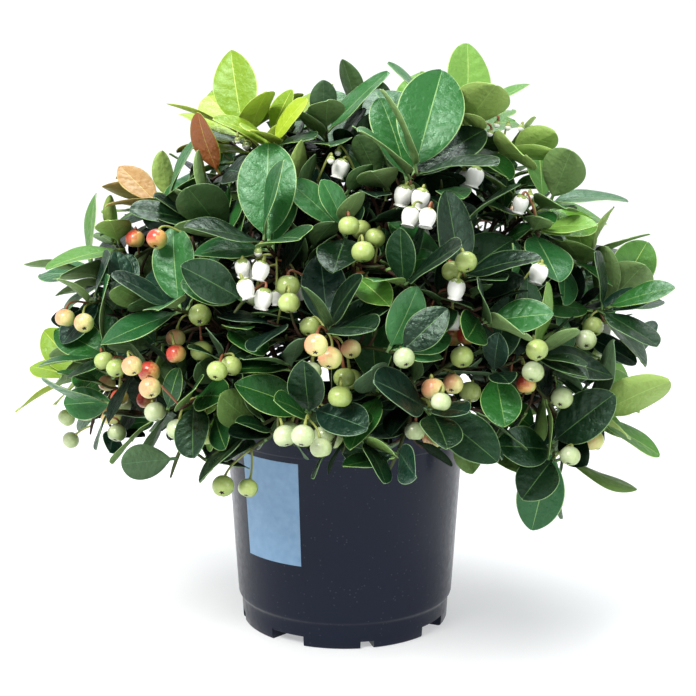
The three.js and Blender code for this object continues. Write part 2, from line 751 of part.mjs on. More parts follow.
function massGeometry(mass) {
  const surface = new MassSurface();
  for (const { twig } of mass.shoots) surface.addTwig(twig);
  for (const { leaves, fruit } of mass.shoots) {
    for (const leaf of leaves) surface.addLeaf(leaf);
    for (const one of fruit) surface.addFruit(one);
  }
  return geometryOf(surface);
}

// A stem, cut flat where it stands.
function stemGeometry({ path }) {
  const stem = limb(path, [0, STEM_FORK], STEM_RADII, STEM_STEPS, STEM_SIDES);
  for (const corner of stem.corners.slice(0, STEM_SIDES)) corner.setZ(path.v0.z);
  return geometryOf(stem);
}

// A lathe of [radius, height] points about the Z axis.
function turned(outline, sides) {
  const points = outline.map(([radius, height]) => new THREE.Vector2(radius, height));
  return new THREE.LatheGeometry(points, sides).rotateX(Math.PI / 2);
}

function solidOf(geometry) {
  geometry.deleteAttribute("normal");
  geometry.deleteAttribute("uv");
  const merged = mergeVertices(geometry);
  return new wasm.Manifold(
    new wasm.Mesh({
      numProp: 3,
      vertProperties: merged.attributes.position.array,
      triVerts: new Uint32Array(merged.index.array),
    }),
  );
}

// A notch under the foot, cut in from outside.
function notch({ turn, width, height }) {
  const SPARE = 1;
  const outer = FOOT_RADIUS + 2 * SPARE;
  const inner = FOOT_RADIUS - NOTCH_DEPTH;
  const box = new THREE.BoxGeometry(width, outer - inner, height + SPARE)
    .translate(0, -(outer + inner) / 2, (height - SPARE) / 2)
    .rotateZ(radians(turn));
  return solidOf(box);
}

// The outside radius of the wall under the collar at a height.
function wallRadius(z) {
  const share = (z - FOOT_HEIGHT) / (POT_HEIGHT - COLLAR_HEIGHT - FOOT_HEIGHT);
  return mix(WALL_FOOT_RADIUS, WALL_TOP_RADIUS, share);
}

function potGeometry() {
  const collarFoot = POT_HEIGHT - COLLAR_HEIGHT;
  const shoulder = FOOT_HEIGHT + FOOT_SHOULDER;
  const outline = [
    [0, 0],
    [FOOT_RADIUS, 0],
    [FOOT_TOP_RADIUS, FOOT_HEIGHT],
    [wallRadius(shoulder), shoulder],
    [WALL_TOP_RADIUS, collarFoot],
    [COLLAR_RADIUS, collarFoot],
    [RIM_RADIUS, POT_HEIGHT - RIM_ROUNDING],
    [RIM_RADIUS - RIM_ROUNDING, POT_HEIGHT],
    [RIM_RADIUS - RIM_THICKNESS, POT_HEIGHT],
    [WALL_TOP_RADIUS - WALL_THICKNESS, collarFoot],
    [wallRadius(shoulder) - WALL_THICKNESS, shoulder],
    [FOOT_TOP_RADIUS - WALL_THICKNESS, FLOOR_THICKNESS],
    [0, FLOOR_THICKNESS],
  ];
  let pot = solidOf(turned(outline, POT_SIDES));
  for (let k = 0; k < NOTCH_PAIRS; k++)
    for (const cut of [WIDE_NOTCH, NARROW_NOTCH])
      pot = pot.subtract(notch({ ...cut, turn: cut.turn + (360 * k) / NOTCH_PAIRS }));
  const { vertProperties, triVerts } = pot.getMesh();
  const geometry = new THREE.BufferGeometry();
  geometry.setAttribute("position", new THREE.BufferAttribute(vertProperties, 3));
  geometry.setIndex(new THREE.BufferAttribute(triVerts, 1));
  geometry.computeVertexNormals();
  return geometry;
}

// The mix fills the pot to just under its collar, clear of the wall and floor.
function soilGeometry() {
  const inset = WALL_THICKNESS + CLEARANCE * 1.4;
  const shoulder = FOOT_HEIGHT + FOOT_SHOULDER;
  const edge = SOIL_LEVEL - SOIL_SHOULDER;
  const outline = [
    [0, FLOOR_THICKNESS + CLEARANCE],
    [FOOT_TOP_RADIUS - inset, FLOOR_THICKNESS + CLEARANCE],
    [wallRadius(shoulder) - inset, shoulder],
    [wallRadius(edge) - inset, edge],
    [wallRadius(edge) - inset - SOIL_SHOULDER, SOIL_LEVEL],
    [0, SOIL_LEVEL],
  ];
  return turned(outline, POT_SIDES);
}

function rootCrownGeometry() {
  const outline = [
    [0, 0],
    [CROWN_FOOT_RADIUS, 0],
    [CROWN_WAIST_RADIUS, CROWN_HEIGHT / 2],
    [CROWN_TOP_RADIUS, CROWN_HEIGHT],
    [0, CROWN_HEIGHT],
  ];
  return turned(outline, CROWN_SIDES);
}

const group = new THREE.Group();
group.name = "potted_wintergreen";

function addNode(name, geometry, material, z = 0) {
  const mesh = new THREE.Mesh(geometry, material.clone());
  mesh.name = name;
  mesh.position.z = z;
  group.add(mesh);
}

addNode("pot", potGeometry(), POT_BLACK);
addNode("soil", soilGeometry(), SOIL_BROWN);
addNode("root_crown", rootCrownGeometry(), BARK_BROWN, SOIL_LEVEL + CLEARANCE);
for (const mass of masses) {
  addNode(`stem_${mass.name}`, stemGeometry(mass), BARK_BROWN);
  addNode(`foliage_${mass.name}`, massGeometry(mass), LEAF_GREEN);
}

export default group;
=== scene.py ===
# %% [markdown]
# # A wintergreen in its nursery pot
# The real object is a young evergreen shrub in a dark plastic pot: thin woody stems rise from
# the mix and end in rosettes of leathery leaves, with berries and small white bells under them.
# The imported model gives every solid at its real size, so it is loaded first and nothing in it
# is moved. The new pieces are then grown or turned around it, in the same frame, in metres.

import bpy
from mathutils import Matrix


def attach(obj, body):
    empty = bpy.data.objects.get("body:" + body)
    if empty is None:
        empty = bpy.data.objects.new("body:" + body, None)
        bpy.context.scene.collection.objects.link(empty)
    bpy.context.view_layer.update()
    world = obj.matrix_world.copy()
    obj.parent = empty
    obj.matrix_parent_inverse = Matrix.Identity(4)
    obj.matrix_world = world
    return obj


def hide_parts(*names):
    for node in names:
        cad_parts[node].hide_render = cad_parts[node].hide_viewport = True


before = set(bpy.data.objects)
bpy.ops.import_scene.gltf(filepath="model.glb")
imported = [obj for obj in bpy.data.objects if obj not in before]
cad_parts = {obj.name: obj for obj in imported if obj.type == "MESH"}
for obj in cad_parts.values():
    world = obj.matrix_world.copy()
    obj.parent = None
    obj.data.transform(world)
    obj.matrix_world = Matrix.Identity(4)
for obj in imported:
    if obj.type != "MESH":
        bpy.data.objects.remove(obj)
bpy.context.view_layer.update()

# %% Tools and units
import functools
import math

import bpy
import numpy as np
from mathutils import Vector

MM = 0.001
UP = np.array([0.0, 0.0, 1.0])
ANY_PHASE = 6.3

# %% [markdown]
# ## Small helpers for directions and curves
# The plant's rule works with bearings, heights and quadratic curves, in millimetres. A curve
# of three points stays in one plane, so rings that are placed round it never twist. Blender's
# own curve objects could do this too, but plain arrays let the rule test its room as it grows.


# %% Directions
def mix(start, end, share):
    return start + (end - start) * share


def unit(vector):
    return vector / np.linalg.norm(vector)


def heading(turn, rise):
    """A unit vector at a bearing from the front and a height, both in degrees."""
    bearing, height = math.radians(turn), math.radians(rise)
    level = math.cos(height)
    return np.array([math.sin(bearing) * level, -math.cos(bearing) * level, math.sin(height)])


def across(direction):
    """Two unit vectors square to a direction and to each other."""
    steepest = 0.05
    first = np.cross(direction, UP)
    if np.linalg.norm(first) < steepest:
        first = np.array([1.0, 0.0, 0.0]) - direction * direction[0]
    first = unit(first)
    return first, unit(np.cross(first, direction))


def swing(attempt):
    """The first try is straight, and the next ones swing to either side in growing steps."""
    return math.ceil(attempt / 2) * (1 if attempt % 2 else -1)


# %% Curves and rings
class Curve:
    """A quadratic curve through space, given by its start, bend and end."""

    def __init__(self, start, bend, end):
        self.start, self.bend, self.end = start, bend, end
        straight = 1e-3
        square = np.cross(self.slope(0), self.slope(1))
        size = np.linalg.norm(square)
        self.square = across(self.slope(0))[0] if size < straight else square / size

    def point(self, t):
        return (1 - t) ** 2 * self.start + 2 * t * (1 - t) * self.bend + t * t * self.end

    def advance(self, t):
        return 2 * mix(self.bend - self.start, self.end - self.bend, t)

    def slope(self, t):
        return unit(self.advance(t))


@functools.lru_cache(None)
def turns(sides):
    angles = 2 * math.pi * np.arange(sides) / sides
    return np.cos(angles)[:, None], np.sin(angles)[:, None]


def ring_round(curve, t, radius, sides, shift=0.0):
    """The corners of a ring round a curve; radius is one number or a column of them."""
    ahead = curve.slope(t)
    aside = np.cross(ahead, curve.square)
    cosines, sines = turns(sides)
    middle = curve.point(t) + ahead * shift
    return middle + radius * (curve.square * cosines + aside * sines)


# %% [markdown]
# ## The room that things keep
# On the real plant no leaf grows through another. So each twig, leaf and berry has a closed
# shape a little larger than itself, and a new one is kept only if its edges pierce none of
# the others' faces. A physics engine could settle them, but this test gives the same plant
# each time and is quick: planes rule out nearly every pair before the exact sum is done.


# %% Closed shapes
@functools.lru_cache(None)
def edges_of(faces):
    pairs = [(a, b) for face in faces for a, b in zip(face, face[1:] + face[:1])]
    return np.array([pair for pair in pairs if pair[0] < pair[1]])


class Shell:
    """A closed shape ready for the touch test."""

    def __init__(self, corners, faces):
        self.corners = corners
        self.triangles = corners[np.array(faces)]
        self.segments = corners[edges_of(faces)]
        self.middle = corners.mean(axis=0)
        self.radius = np.linalg.norm(corners - self.middle, axis=1).max()


@functools.lru_cache(None)
def limb_faces(steps, sides):
    faces = []
    for ring in range(steps):
        for k in range(sides):
            a, b = ring * sides + k, ring * sides + (k + 1) % sides
            faces += [(a, b, b + sides), (a, b + sides, a + sides)]
    last = steps * sides
    for k in range(1, sides - 1):
        faces += [(0, k + 1, k), (last, last + k, last + k + 1)]
    return tuple(faces)


def limb_shell(curve, start, end, radii, steps, sides):
    room = 0.6
    rings = [
        ring_round(curve, mix(start, end, k / steps), mix(*radii, k / steps) + room, sides)
        for k in range(steps + 1)
    ]
    return Shell(np.concatenate(rings), limb_faces(steps, sides))


# %% The touch test
def pierced(segments, triangles):
    """True if any segment goes through any triangle."""
    a, b, c = triangles[:, 0], triangles[:, 1], triangles[:, 2]
    normals = np.cross(b - a, c - a)
    levels = np.einsum("ij,ij->i", normals, a)
    before = segments[:, 0] @ normals.T - levels
    after = segments[:, 1] @ normals.T - levels
    which, face = np.nonzero(before * after < 0)
    if not len(which):
        return False
    share = before[which, face] / (before[which, face] - after[which, face])
    start, end = segments[which, 0], segments[which, 1]
    points = start + (end - start) * share[:, None]
    inside = np.ones(len(which), bool)
    for one, next_one in ((a, b), (b, c), (c, a)):
        side = np.cross(next_one[face] - one[face], points - one[face])
        inside &= np.einsum("ij,ij->i", side, normals[face]) >= 0
    return bool(inside.any())


def crossing(shell, others):
    """True if a shell crosses any of the others."""
    if not others:
        return False
    if pierced(shell.segments, np.concatenate([other.triangles for other in others])):
        return True
    return pierced(np.concatenate([other.segments for other in others]), shell.triangles)


class Thicket:
    """Everything grown so far: its room, the part of it away from its root, and its twigs."""

    def __init__(self):
        most = 8192
        self.things, self.count = [], 0
        self.middles, self.radii = np.zeros((most, 3)), np.zeros(most)

    def add(self, whole, part=None, parent=None, twig=None):
        self.middles[self.count], self.radii[self.count] = whole.middle, whole.radius
        self.things.append((whole, part, parent, twig))
        self.count += 1

    def touched(self, whole, part=None, parent=None, twig=None):
        """A thing may meet its own twig, and a side twig its neighbours, near the root."""
        gaps = np.linalg.norm(self.middles[: self.count] - whole.middle, axis=1)
        near = np.nonzero(gaps <= self.radii[: self.count] + whole.radius)[0]
        apart, carriers, beside = [], [], []
        for k in near:
            other_whole, other_part, other_parent, other_twig = self.things[k]
            if twig and other_twig and other_parent is parent:
                beside.append(other_part)
            elif parent and other_twig is parent:
                carriers.append(other_whole)
            else:
                apart.append(other_whole)
        return crossing(whole, apart) or crossing(part, carriers) or crossing(part, beside)


thicket = Thicket()

# %% [markdown]
# ## The driving sizes
# These are the plant's own measures, in millimetres and degrees, the same as in the part's
# source, so that every stem, leaf and berry here grows where its solid stands. A mass is one
# leading shoot and the shoots round it; turn is its bearing from the front, rise its height
# and reach its distance from the heart of the plant. None of its leaves hangs below lowest.

# %% Pot and mix sizes
POT_HEIGHT = 105
RIM_RADIUS = 60
COLLAR_RADIUS = 59.2
COLLAR_HEIGHT = 11
WALL_TOP_RADIUS = 57.6
WALL_FOOT_RADIUS = 52.6
WALL_THICKNESS = 1.2
FOOT_TOP_RADIUS = 51.2
FOOT_RADIUS = 50.6
FOOT_HEIGHT = 12
FOOT_SHOULDER = 2
FLOOR_THICKNESS = 6
NOTCH_DEPTH = 16
CLEARANCE = 0.3
SOIL_LEVEL = 96
ROOT_CROWN_HEIGHT = 16
ROOT_CROWN_RADII = [9.5, 7.1, 7.6]

# %% Stem, twig and leaf sizes
HEART = np.array([0.0, 0.0, 120.0])
CROWN_STEM_RISE = 55
CROWN_STEM_RING = 5.5
FOOT_RING_INNER = 8
FOOT_RING_GROWTH = 0.34
STEM_FORK = 0.55
STEM_LEAN = 0.3
STEM_CLIMB = 0.75
LOWEST_ARCH = 142
STEM_RADII = [1.7, 1.15]
MAIN_TWIG_RADII = [1.15, 0.9]
SIDE_TWIG_RADII = [0.95, 0.75]
SIDE_TWIG_KNEE = 0.4
SIDE_TWIGS = 4
FIRST_FORK = 0.1
FORK_STEP = 0.11
SPROUT_STEP = 2.1
SHOOT_SPREAD = 30
SHOOT_SPREAD_JITTER = 9
SHOOT_SINK = 9
SHOOT_TURN_JITTER = 50
SHOOT_TRIES = 12
SHOOT_TURN_STEP = 24
SHOOT_OVERHANG = 5
SHOOT_SINK_SHARES = [0.3, 1.7]
SHOOT_SIZES = [0.82, 1]
SHOOT_BEND = 0.3
SHOOT_BEND_PULL = 0.28
SHOOT_FROM, SHOOT_FREE_FROM = 0.05, 0.3
LIGHT_PULL = 0.55
LEAD_LEAVES = 6
SIDE_LEAVES = 5
GOLDEN_ANGLE = 137.5
LEAF_SHAPE = 0.6
LEAF_FOLD = 0.2
LEAF_DROOP = 0.12
LEAF_DROOP_SHARES = [0.4, 1.6]
LEAF_SIZES = [0.86, 1.1]
LEAF_SHOULDERS = [0.31, 0.76]
LEAF_LIGHT_PULL = 0.7
STALK_SHARE = 0.12
ROOT_SHARE = 0.16
OLD_LEAF_LEAN = 80
YOUNG_LEAF_LEAN = 28
YOUNG_LEAF_SIZE = 0.78
LEAF_TURN_JITTER = 26
LEAF_LEAN_JITTER = 16
LEAF_OVERHANG = 28
LEAF_TRIES = 13
LEAF_TURN_STEP = 13
LEAF_LIFT_STEP = 3
LEAF_SHRINK = 0.965

# %% Fruit sizes
FRUIT = {"berry": {"radius": 5, "length": 1.8}, "bell": {"radius": 3.2, "length": 2.5}}
FRUIT_SIZES = [0.82, 1.06]
STALK_RADIUS = 0.55
STALK_REACH = 9
STALK_REACH_SHARES = [0.75, 1.2]
STALK_DROP = 7
STALK_DROP_SHARES = [0.7, 1.7]
STALK_BEND = 0.8
STALK_RISE = 1.5
STALK_FROM, STALK_FREE_FROM, STALK_TO = 0.1, 0.4, 0.9
STALK_FORWARDS = 0.3
STALK_FAN = 38
STALK_FAN_JITTER = 20
STALK_TURN_STEP = 16
STALK_DROP_STEP = 0.8
HANG_UNDER_LEAVES = 12

# %% The masses of foliage: name, turn, rise, reach, leaf length, bells, berries, lowest
MASSES = [
    ("top_front", 28, 57, 126, 50, 4, 0, 96),
    ("top_left", -62, 66, 132, 40, 2, 0, 96),
    ("top_middle", -18, 76, 128, 38, 2, 0, 96),
    ("front_left_high", -22, 40, 122, 42, 4, 2, 96),
    ("left_high", -80, 44, 124, 36, 0, 3, 96),
    ("left_middle", -86, 23, 134, 40, 0, 3, 90),
    ("left_low", -66, 9, 126, 38, 0, 4, 96),
    ("left_skirt", -92, -1, 132, 36, 0, 2, 82),
    ("front_left_middle", -44, 24, 119, 38, 0, 2, 96),
    ("front_left_skirt", -38, 3, 116, 36, 0, 3, 92),
    ("front_middle", -4, 22, 117, 38, 0, 4, 96),
    ("front_high", 0, 47, 117, 36, 0, 4, 96),
    ("front_skirt", -8, 3, 112, 36, 0, 3, 100),
    ("front_right_skirt", 19, 4, 114, 38, 0, 3, 100),
    ("front_right_high", 31, 32, 119, 42, 1, 3, 96),
    ("right_high", 78, 42, 132, 42, 3, 0, 96),
    ("top_right", 72, 64, 138, 42, 2, 0, 96),
    ("right_middle", 84, 17, 134, 38, 1, 2, 96),
    ("right_low", 48, 13, 120, 38, 0, 3, 96),
    ("right_skirt", 68, -5, 126, 42, 0, 2, 60),
    ("back_top", 170, 62, 124, 42, 0, 2, 96),
    ("back_left_high", -130, 38, 124, 40, 0, 2, 96),
    ("back_right_high", 128, 38, 124, 40, 2, 0, 96),
    ("back_middle", -178, 28, 122, 42, 0, 2, 96),
    ("back_left_low", -124, 7, 122, 40, 0, 2, 84),
    ("back_right_low", 118, 7, 124, 40, 0, 2, 84),
    ("back_skirt", 164, 0, 118, 38, 0, 2, 80),
]
SEED = 4211
SEED_STEP = 7919

# %% [markdown]
# ## The rule of growth
# A leaf is a folded blade that droops towards its tip. Its points come from one function of
# how far along and how far aside they lie, so the room it keeps and the mesh it gets later
# agree. The draws come from the same simple generator as in the source, one for each mass.


# %% Draws and blades
class Draws:
    """The same draws every time, from one seed."""

    modulus, first_factor, factor = 2147483647, 16807, 48271

    def __init__(self, seed):
        self.state = seed * self.first_factor % self.modulus

    def __call__(self):
        self.state = self.state * self.factor % self.modulus
        return self.state / self.modulus

    def jitter(self, span):
        return (self() - 0.5) * span


def leaf_outline(along, towards_stalk=0.72, towards_tip=0.58):
    """Half the width of a leaf at a share of its length, 1 where it is widest."""
    widest = towards_stalk / (towards_stalk + towards_tip)
    most = widest**towards_stalk * (1 - widest) ** towards_tip
    return along**towards_stalk * (1 - along) ** towards_tip / most


def blade_point(leaf, along, aside, length, width):
    """A point of a leaf's folded, drooping surface."""
    reach = length * (STALK_SHARE + along)
    half = width / 2 * leaf_outline(along)
    height = LEAF_FOLD * abs(aside) * half - leaf["droop"] * reach * reach / length
    forward = leaf["direction"] * reach + leaf["side"] * (aside * half)
    return leaf["root"] + forward + leaf["normal"] * height


LEAF_FACES = tuple(
    face for k in range(6) for face in ((6, (k + 1) % 6, k), (7, k, (k + 1) % 6))
)
FRUIT_FACES = ((0, 2, 1), (0, 3, 2), (4, 5, 6), (4, 6, 7)) + tuple(
    face
    for k in range(4)
    for face in ((k, (k + 1) % 4, 4 + (k + 1) % 4), (k, 4 + (k + 1) % 4, 4 + k))
)


def leaf_shell(leaf, start):
    """The room of a leaf from a share of its length on."""
    edge_room, face_room, thickest = 1.4, 1.2, 0.4
    size = leaf["length"] + edge_room / 2, leaf["width"] + edge_room
    near, far = LEAF_SHOULDERS
    tip = blade_point(leaf, 1.0, 0.0, *size)
    rib = mix(leaf["root"], tip, thickest)
    corners = [
        mix(leaf["root"], tip, start),
        blade_point(leaf, near, 1, *size),
        blade_point(leaf, far, 1, *size),
        tip,
        blade_point(leaf, far, -1, *size),
        blade_point(leaf, near, -1, *size),
        rib + leaf["normal"] * face_room,
        rib - leaf["normal"] * face_room,
    ]
    return Shell(np.array(corners), LEAF_FACES)


def fruit_shell(stalk, radius, length):
    room = 1.05
    rings = [ring_round(stalk, 1, radius * room * math.sqrt(2), 4, w) for w in (0, length * room)]
    return Shell(np.concatenate(rings), FRUIT_FACES)


# %% Masses and twigs
class Mass:
    """One mass of foliage: its leading shoot's way, its stem's curve and its shoots."""

    def __init__(self, row, index):
        _, turn, rise, reach, self.leaf, self.bell, self.berry, self.lowest = row
        self.index = index
        self.out = heading(turn, rise)
        self.lead = HEART + self.out * reach
        on_crown = rise > CROWN_STEM_RISE
        ring = CROWN_STEM_RING if on_crown else FOOT_RING_INNER + FOOT_RING_GROWTH * (90 - rise)
        level = SOIL_LEVEL + CLEARANCE + (ROOT_CROWN_HEIGHT + CLEARANCE if on_crown else 0)
        foot = heading(turn, 0) * ring
        foot[2] = level
        bend = mix(foot, self.lead, STEM_LEAN)
        bend[2] = max(mix(foot[2], self.lead[2], STEM_CLIMB), LOWEST_ARCH)
        self.path = Curve(foot, bend, self.lead)
        self.draw = Draws(SEED + SEED_STEP * index)
        self.shoots = []


class Twig:
    """A three-sided twig with rings at stops; whatever sprouts takes one face of it."""

    def __init__(self, curve, start, radii, forks, sprouts):
        step = SPROUT_STEP / (np.linalg.norm(curve.advance(1)) * (1 - start))
        self.curve, self.start, self.radii, self.taken = curve, start, radii, set()
        self.stops = [0.0]
        for fork in forks:
            self.stops += [fork - step / 2, fork + step / 2]
        if not forks:
            self.stops.append(SIDE_TWIG_KNEE)
        self.stops += [1 - k * step for k in range(sprouts, -1, -1)]

    def ring(self, index):
        share = self.stops[index]
        return ring_round(self.curve, mix(self.start, 1, share), mix(*self.radii, share), 3)

    def sprout_step(self, from_tip):
        return len(self.stops) - 2 - from_tip

    def place(self, step, direction):
        """The free face of a step that looks most along a direction, and its middle."""
        lower, upper = self.ring(step), self.ring(step + 1)
        middle = lower.mean(axis=0)
        best = (-math.inf, None, None)
        for side in range(3):
            after = (side + 1) % 3
            outwards = unit(mix(lower[side], lower[after], 0.5) - middle)
            facing = outwards @ direction
            if facing > best[0] and (step, side) not in self.taken:
                best = facing, (step, side), (lower[side] + lower[after] + upper[after]) / 3
        return best[1], best[2]


class Shoot:
    """A twig, the way the rosette at its tip faces, and what grows on it."""

    def __init__(self, twig, size, leaf_count, rank):
        self.twig, self.size, self.leaf_count, self.rank = twig, size, leaf_count, rank
        self.axis = unit(twig.curve.slope(1) + UP * LIGHT_PULL)
        self.leaves, self.fruit = [], []


# %% Room round the masses
masses = [Mass(row, index) for index, row in enumerate(MASSES)]
leads = np.array([mass.lead for mass in masses])


def in_own_space(mass, point, overhang):
    """A mass keeps to the points that lie nearest its own leading shoot."""
    gaps = np.linalg.norm(leads - point, axis=1)
    others = np.delete(gaps, mass.index)
    return bool((others > gaps[mass.index] - overhang).all())


def meets_pot(shell, lowest):
    """True where a shape would run into the pot or hang below a level."""
    room = 1.5
    points = np.concatenate([shell.corners, shell.segments.mean(axis=1)])
    inside = np.hypot(points[:, 0], points[:, 1]) < RIM_RADIUS + room
    low = points[:, 2] < POT_HEIGHT + room
    return bool(((points[:, 2] < lowest) | (low & inside)).any())


# %% Shoots
def add_main_shoot(mass):
    path = mass.path
    start = STEM_FORK + CLEARANCE / np.linalg.norm(path.advance(STEM_FORK))
    forks = [FIRST_FORK + FORK_STEP * k for k in range(SIDE_TWIGS)]
    twig = Twig(path, start, MAIN_TWIG_RADII, forks, LEAD_LEAVES + mass.bell + mass.berry)
    space = limb_shell(path, start, 1, twig.radii, 3, 3)
    thicket.add(limb_shell(path, 0, STEM_FORK, STEM_RADII, 3, 5))
    mass.shoots.append(Shoot(twig, 1, LEAD_LEAVES, "lead"))
    thicket.add(space, space, None, twig)


def add_side_shoot(mass, order):
    """A side shoot round the leading one, or none where it would touch anything."""
    draw = mass.draw
    first, second = across(mass.out)
    turn = order * 360 / SIDE_TWIGS + draw.jitter(SHOOT_TURN_JITTER)
    spread = SHOOT_SPREAD + draw.jitter(SHOOT_SPREAD_JITTER)
    sink = SHOOT_SINK * mix(*SHOOT_SINK_SHARES, draw())
    size = mix(*SHOOT_SIZES, draw())
    parent = mass.shoots[0].twig
    base = parent.curve.point(parent.start)
    onwards = mass.path.slope(mix(parent.start, 1, FIRST_FORK + FORK_STEP * order))
    for attempt in range(SHOOT_TRIES):
        angle = math.radians(turn + swing(attempt) * SHOOT_TURN_STEP)
        tip = mass.lead + spread * (first * math.cos(angle) + second * math.sin(angle))
        tip = tip - mass.out * sink
        if not in_own_space(mass, tip, SHOOT_OVERHANG):
            continue
        face, root = parent.place(1 + 2 * order, tip - base)
        bend = mix(root, tip, SHOOT_BEND) + onwards * SHOOT_BEND_PULL * np.linalg.norm(tip - root)
        curve = Curve(root, bend, tip)
        twig = Twig(curve, 0, SIDE_TWIG_RADII, [], SIDE_LEAVES)
        whole = limb_shell(curve, SHOOT_FROM, 1, twig.radii, 2, 3)
        part = limb_shell(curve, SHOOT_FREE_FROM, 1, twig.radii, 2, 3)
        if meets_pot(part, mass.lowest) or thicket.touched(whole, part, parent, twig):
            continue
        parent.taken.add(face)
        mass.shoots.append(Shoot(twig, size, SIDE_LEAVES, "side"))
        thicket.add(whole, part, parent, twig)
        return


# %% Leaves
def grow_leaf(mass, shoot, order, phase, draw):
    """One leaf, turned, lifted and shortened a little at each try until it is free."""
    share = order / (shoot.leaf_count - 1)
    first, second = across(shoot.axis)
    rest_turn = phase + order * GOLDEN_ANGLE + draw.jitter(LEAF_TURN_JITTER)
    rest_lean = mix(OLD_LEAF_LEAN, YOUNG_LEAF_LEAN, share) + draw.jitter(LEAF_LEAN_JITTER)
    size = mix(*LEAF_SIZES, draw())
    droop = LEAF_DROOP * mix(*LEAF_DROOP_SHARES, draw())
    full = mass.leaf * shoot.size * size * mix(1, YOUNG_LEAF_SIZE, share)
    step = shoot.twig.sprout_step(shoot.leaf_count - 1 - order)
    for attempt in range(LEAF_TRIES):
        turn = math.radians(rest_turn + swing(attempt) * LEAF_TURN_STEP)
        lean = math.radians(rest_lean - attempt * LEAF_LIFT_STEP)
        level = first * math.cos(turn) + second * math.sin(turn)
        direction = shoot.axis * math.cos(lean) + level * math.sin(lean)
        normal = shoot.axis + UP * LEAF_LIGHT_PULL
        normal = unit(normal - direction * (normal @ direction))
        face, root = shoot.twig.place(step, direction)
        if face is None:
            return
        length = full * LEAF_SHRINK**attempt
        leaf = {"root": root, "direction": direction, "normal": normal, "droop": droop}
        leaf |= {"side": np.cross(normal, direction), "age": 1 - share, "shoot": shoot}
        leaf |= {"length": length, "width": length * LEAF_SHAPE}
        whole, part = leaf_shell(leaf, 0), leaf_shell(leaf, ROOT_SHARE)
        tip = blade_point(leaf, 1.0, 0.0, leaf["length"], leaf["width"])
        if not in_own_space(mass, tip, LEAF_OVERHANG) or meets_pot(whole, mass.lowest):
            continue
        if thicket.touched(whole, part, shoot.twig):
            continue
        thicket.add(whole, part, shoot.twig)
        shoot.twig.taken.add(face)
        shoot.leaves.append(leaf)
        return


def grow_rosette(mass, shoot, draw):
    """All the leaves of a shoot, the oldest first."""
    phase = draw() * 360
    for order in range(shoot.leaf_count):
        grow_leaf(mass, shoot, order, phase, draw)


# %% Fruit
def grow_fruit(mass, shoot, kind, count, steps_above, draw):
    """Berries or bells on stalks that arch out and down from below a rosette."""
    radius, length = FRUIT[kind]["radius"], FRUIT[kind]["length"]
    lowest = mass.lowest - HANG_UNDER_LEAVES
    outwards = mass.out + shoot.axis * STALK_FORWARDS
    bearing = math.degrees(math.atan2(outwards[0], -outwards[1]))
    for order in range(count):
        fan = (order - (count - 1) / 2) * STALK_FAN + draw.jitter(STALK_FAN_JITTER)
        reach = STALK_REACH * mix(*STALK_REACH_SHARES, draw())
        drop = STALK_DROP * mix(*STALK_DROP_SHARES, draw())
        size = radius * mix(*FRUIT_SIZES, draw())
        step = shoot.twig.sprout_step(steps_above + order)
        for attempt in range(LEAF_TRIES):
            way = heading(bearing + fan + swing(attempt) * STALK_TURN_STEP, 0)
            face, root = shoot.twig.place(step, way)
            if face is None:
                break
            bend = root + way * reach * STALK_BEND + UP * STALK_RISE
            end = root + way * reach - UP * (drop + attempt * STALK_DROP_STEP)
            stalk = Curve(root, bend, end)
            ball = fruit_shell(stalk, size, length * size)
            whole = limb_shell(stalk, STALK_FROM, STALK_TO, [STALK_RADIUS] * 2, 2, 3)
            part = limb_shell(stalk, STALK_FREE_FROM, STALK_TO, [STALK_RADIUS] * 2, 1, 3)
            if meets_pot(ball, lowest) or meets_pot(part, lowest) or thicket.touched(ball):
                continue
            if thicket.touched(whole, part, shoot.twig):
                continue
            thicket.add(ball)
            thicket.add(whole, part, shoot.twig)
            shoot.twig.taken.add(face)
            shoot.fruit.append({"kind": kind, "stalk": stalk, "size": size})
            break


# %% Growing the twigs and the source's fruit
for mass in masses:
    add_main_shoot(mass)
for order in range(SIDE_TWIGS):
    for mass in masses:
        add_side_shoot(mass, order)
for mass in masses:
    grow_fruit(mass, mass.shoots[0], "bell", mass.bell, LEAD_LEAVES, mass.draw)
    grow_fruit(mass, mass.shoots[0], "berry", mass.berry, LEAD_LEAVES + mass.bell, mass.draw)

# %% [markdown]
# ## The fruit that shows
# Berries and flowers hang at the crown's outside, in gaps between the leaves. Those that the
# photograph shows are placed by its pixels: each hangs on the line of sight of its pixel, at
# the depth of the nearest twig, which carries it by a stalk. It keeps a clear way towards
# whoever looks, so that leaves, which come later, turn aside. Behind, where the photograph
# doesn't reach, more hang by chance in the same way. Moving leaves aside afterwards would be
# harder than growing so.

# %% The photograph's view
CAMERA_DISTANCE = 800
CAMERA_ELEVATION = 12
TARGET = np.array([0.0, 0.0, 128.0])
TARGET_PIXEL = (345, 361)
FOCAL_PIXELS = 1653
camera_side = heading(0, CAMERA_ELEVATION)
CAMERA_PLACE = TARGET + camera_side * CAMERA_DISTANCE
view_up = unit(UP - camera_side * (UP @ camera_side))


def line_of_sight(pixel):
    """The way from the camera through a pixel of the photograph."""
    right = (pixel[0] - TARGET_PIXEL[0]) / FOCAL_PIXELS
    upward = (TARGET_PIXEL[1] - pixel[1]) / FOCAL_PIXELS
    return unit(-camera_side + np.array([1.0, 0.0, 0.0]) * right + view_up * upward)


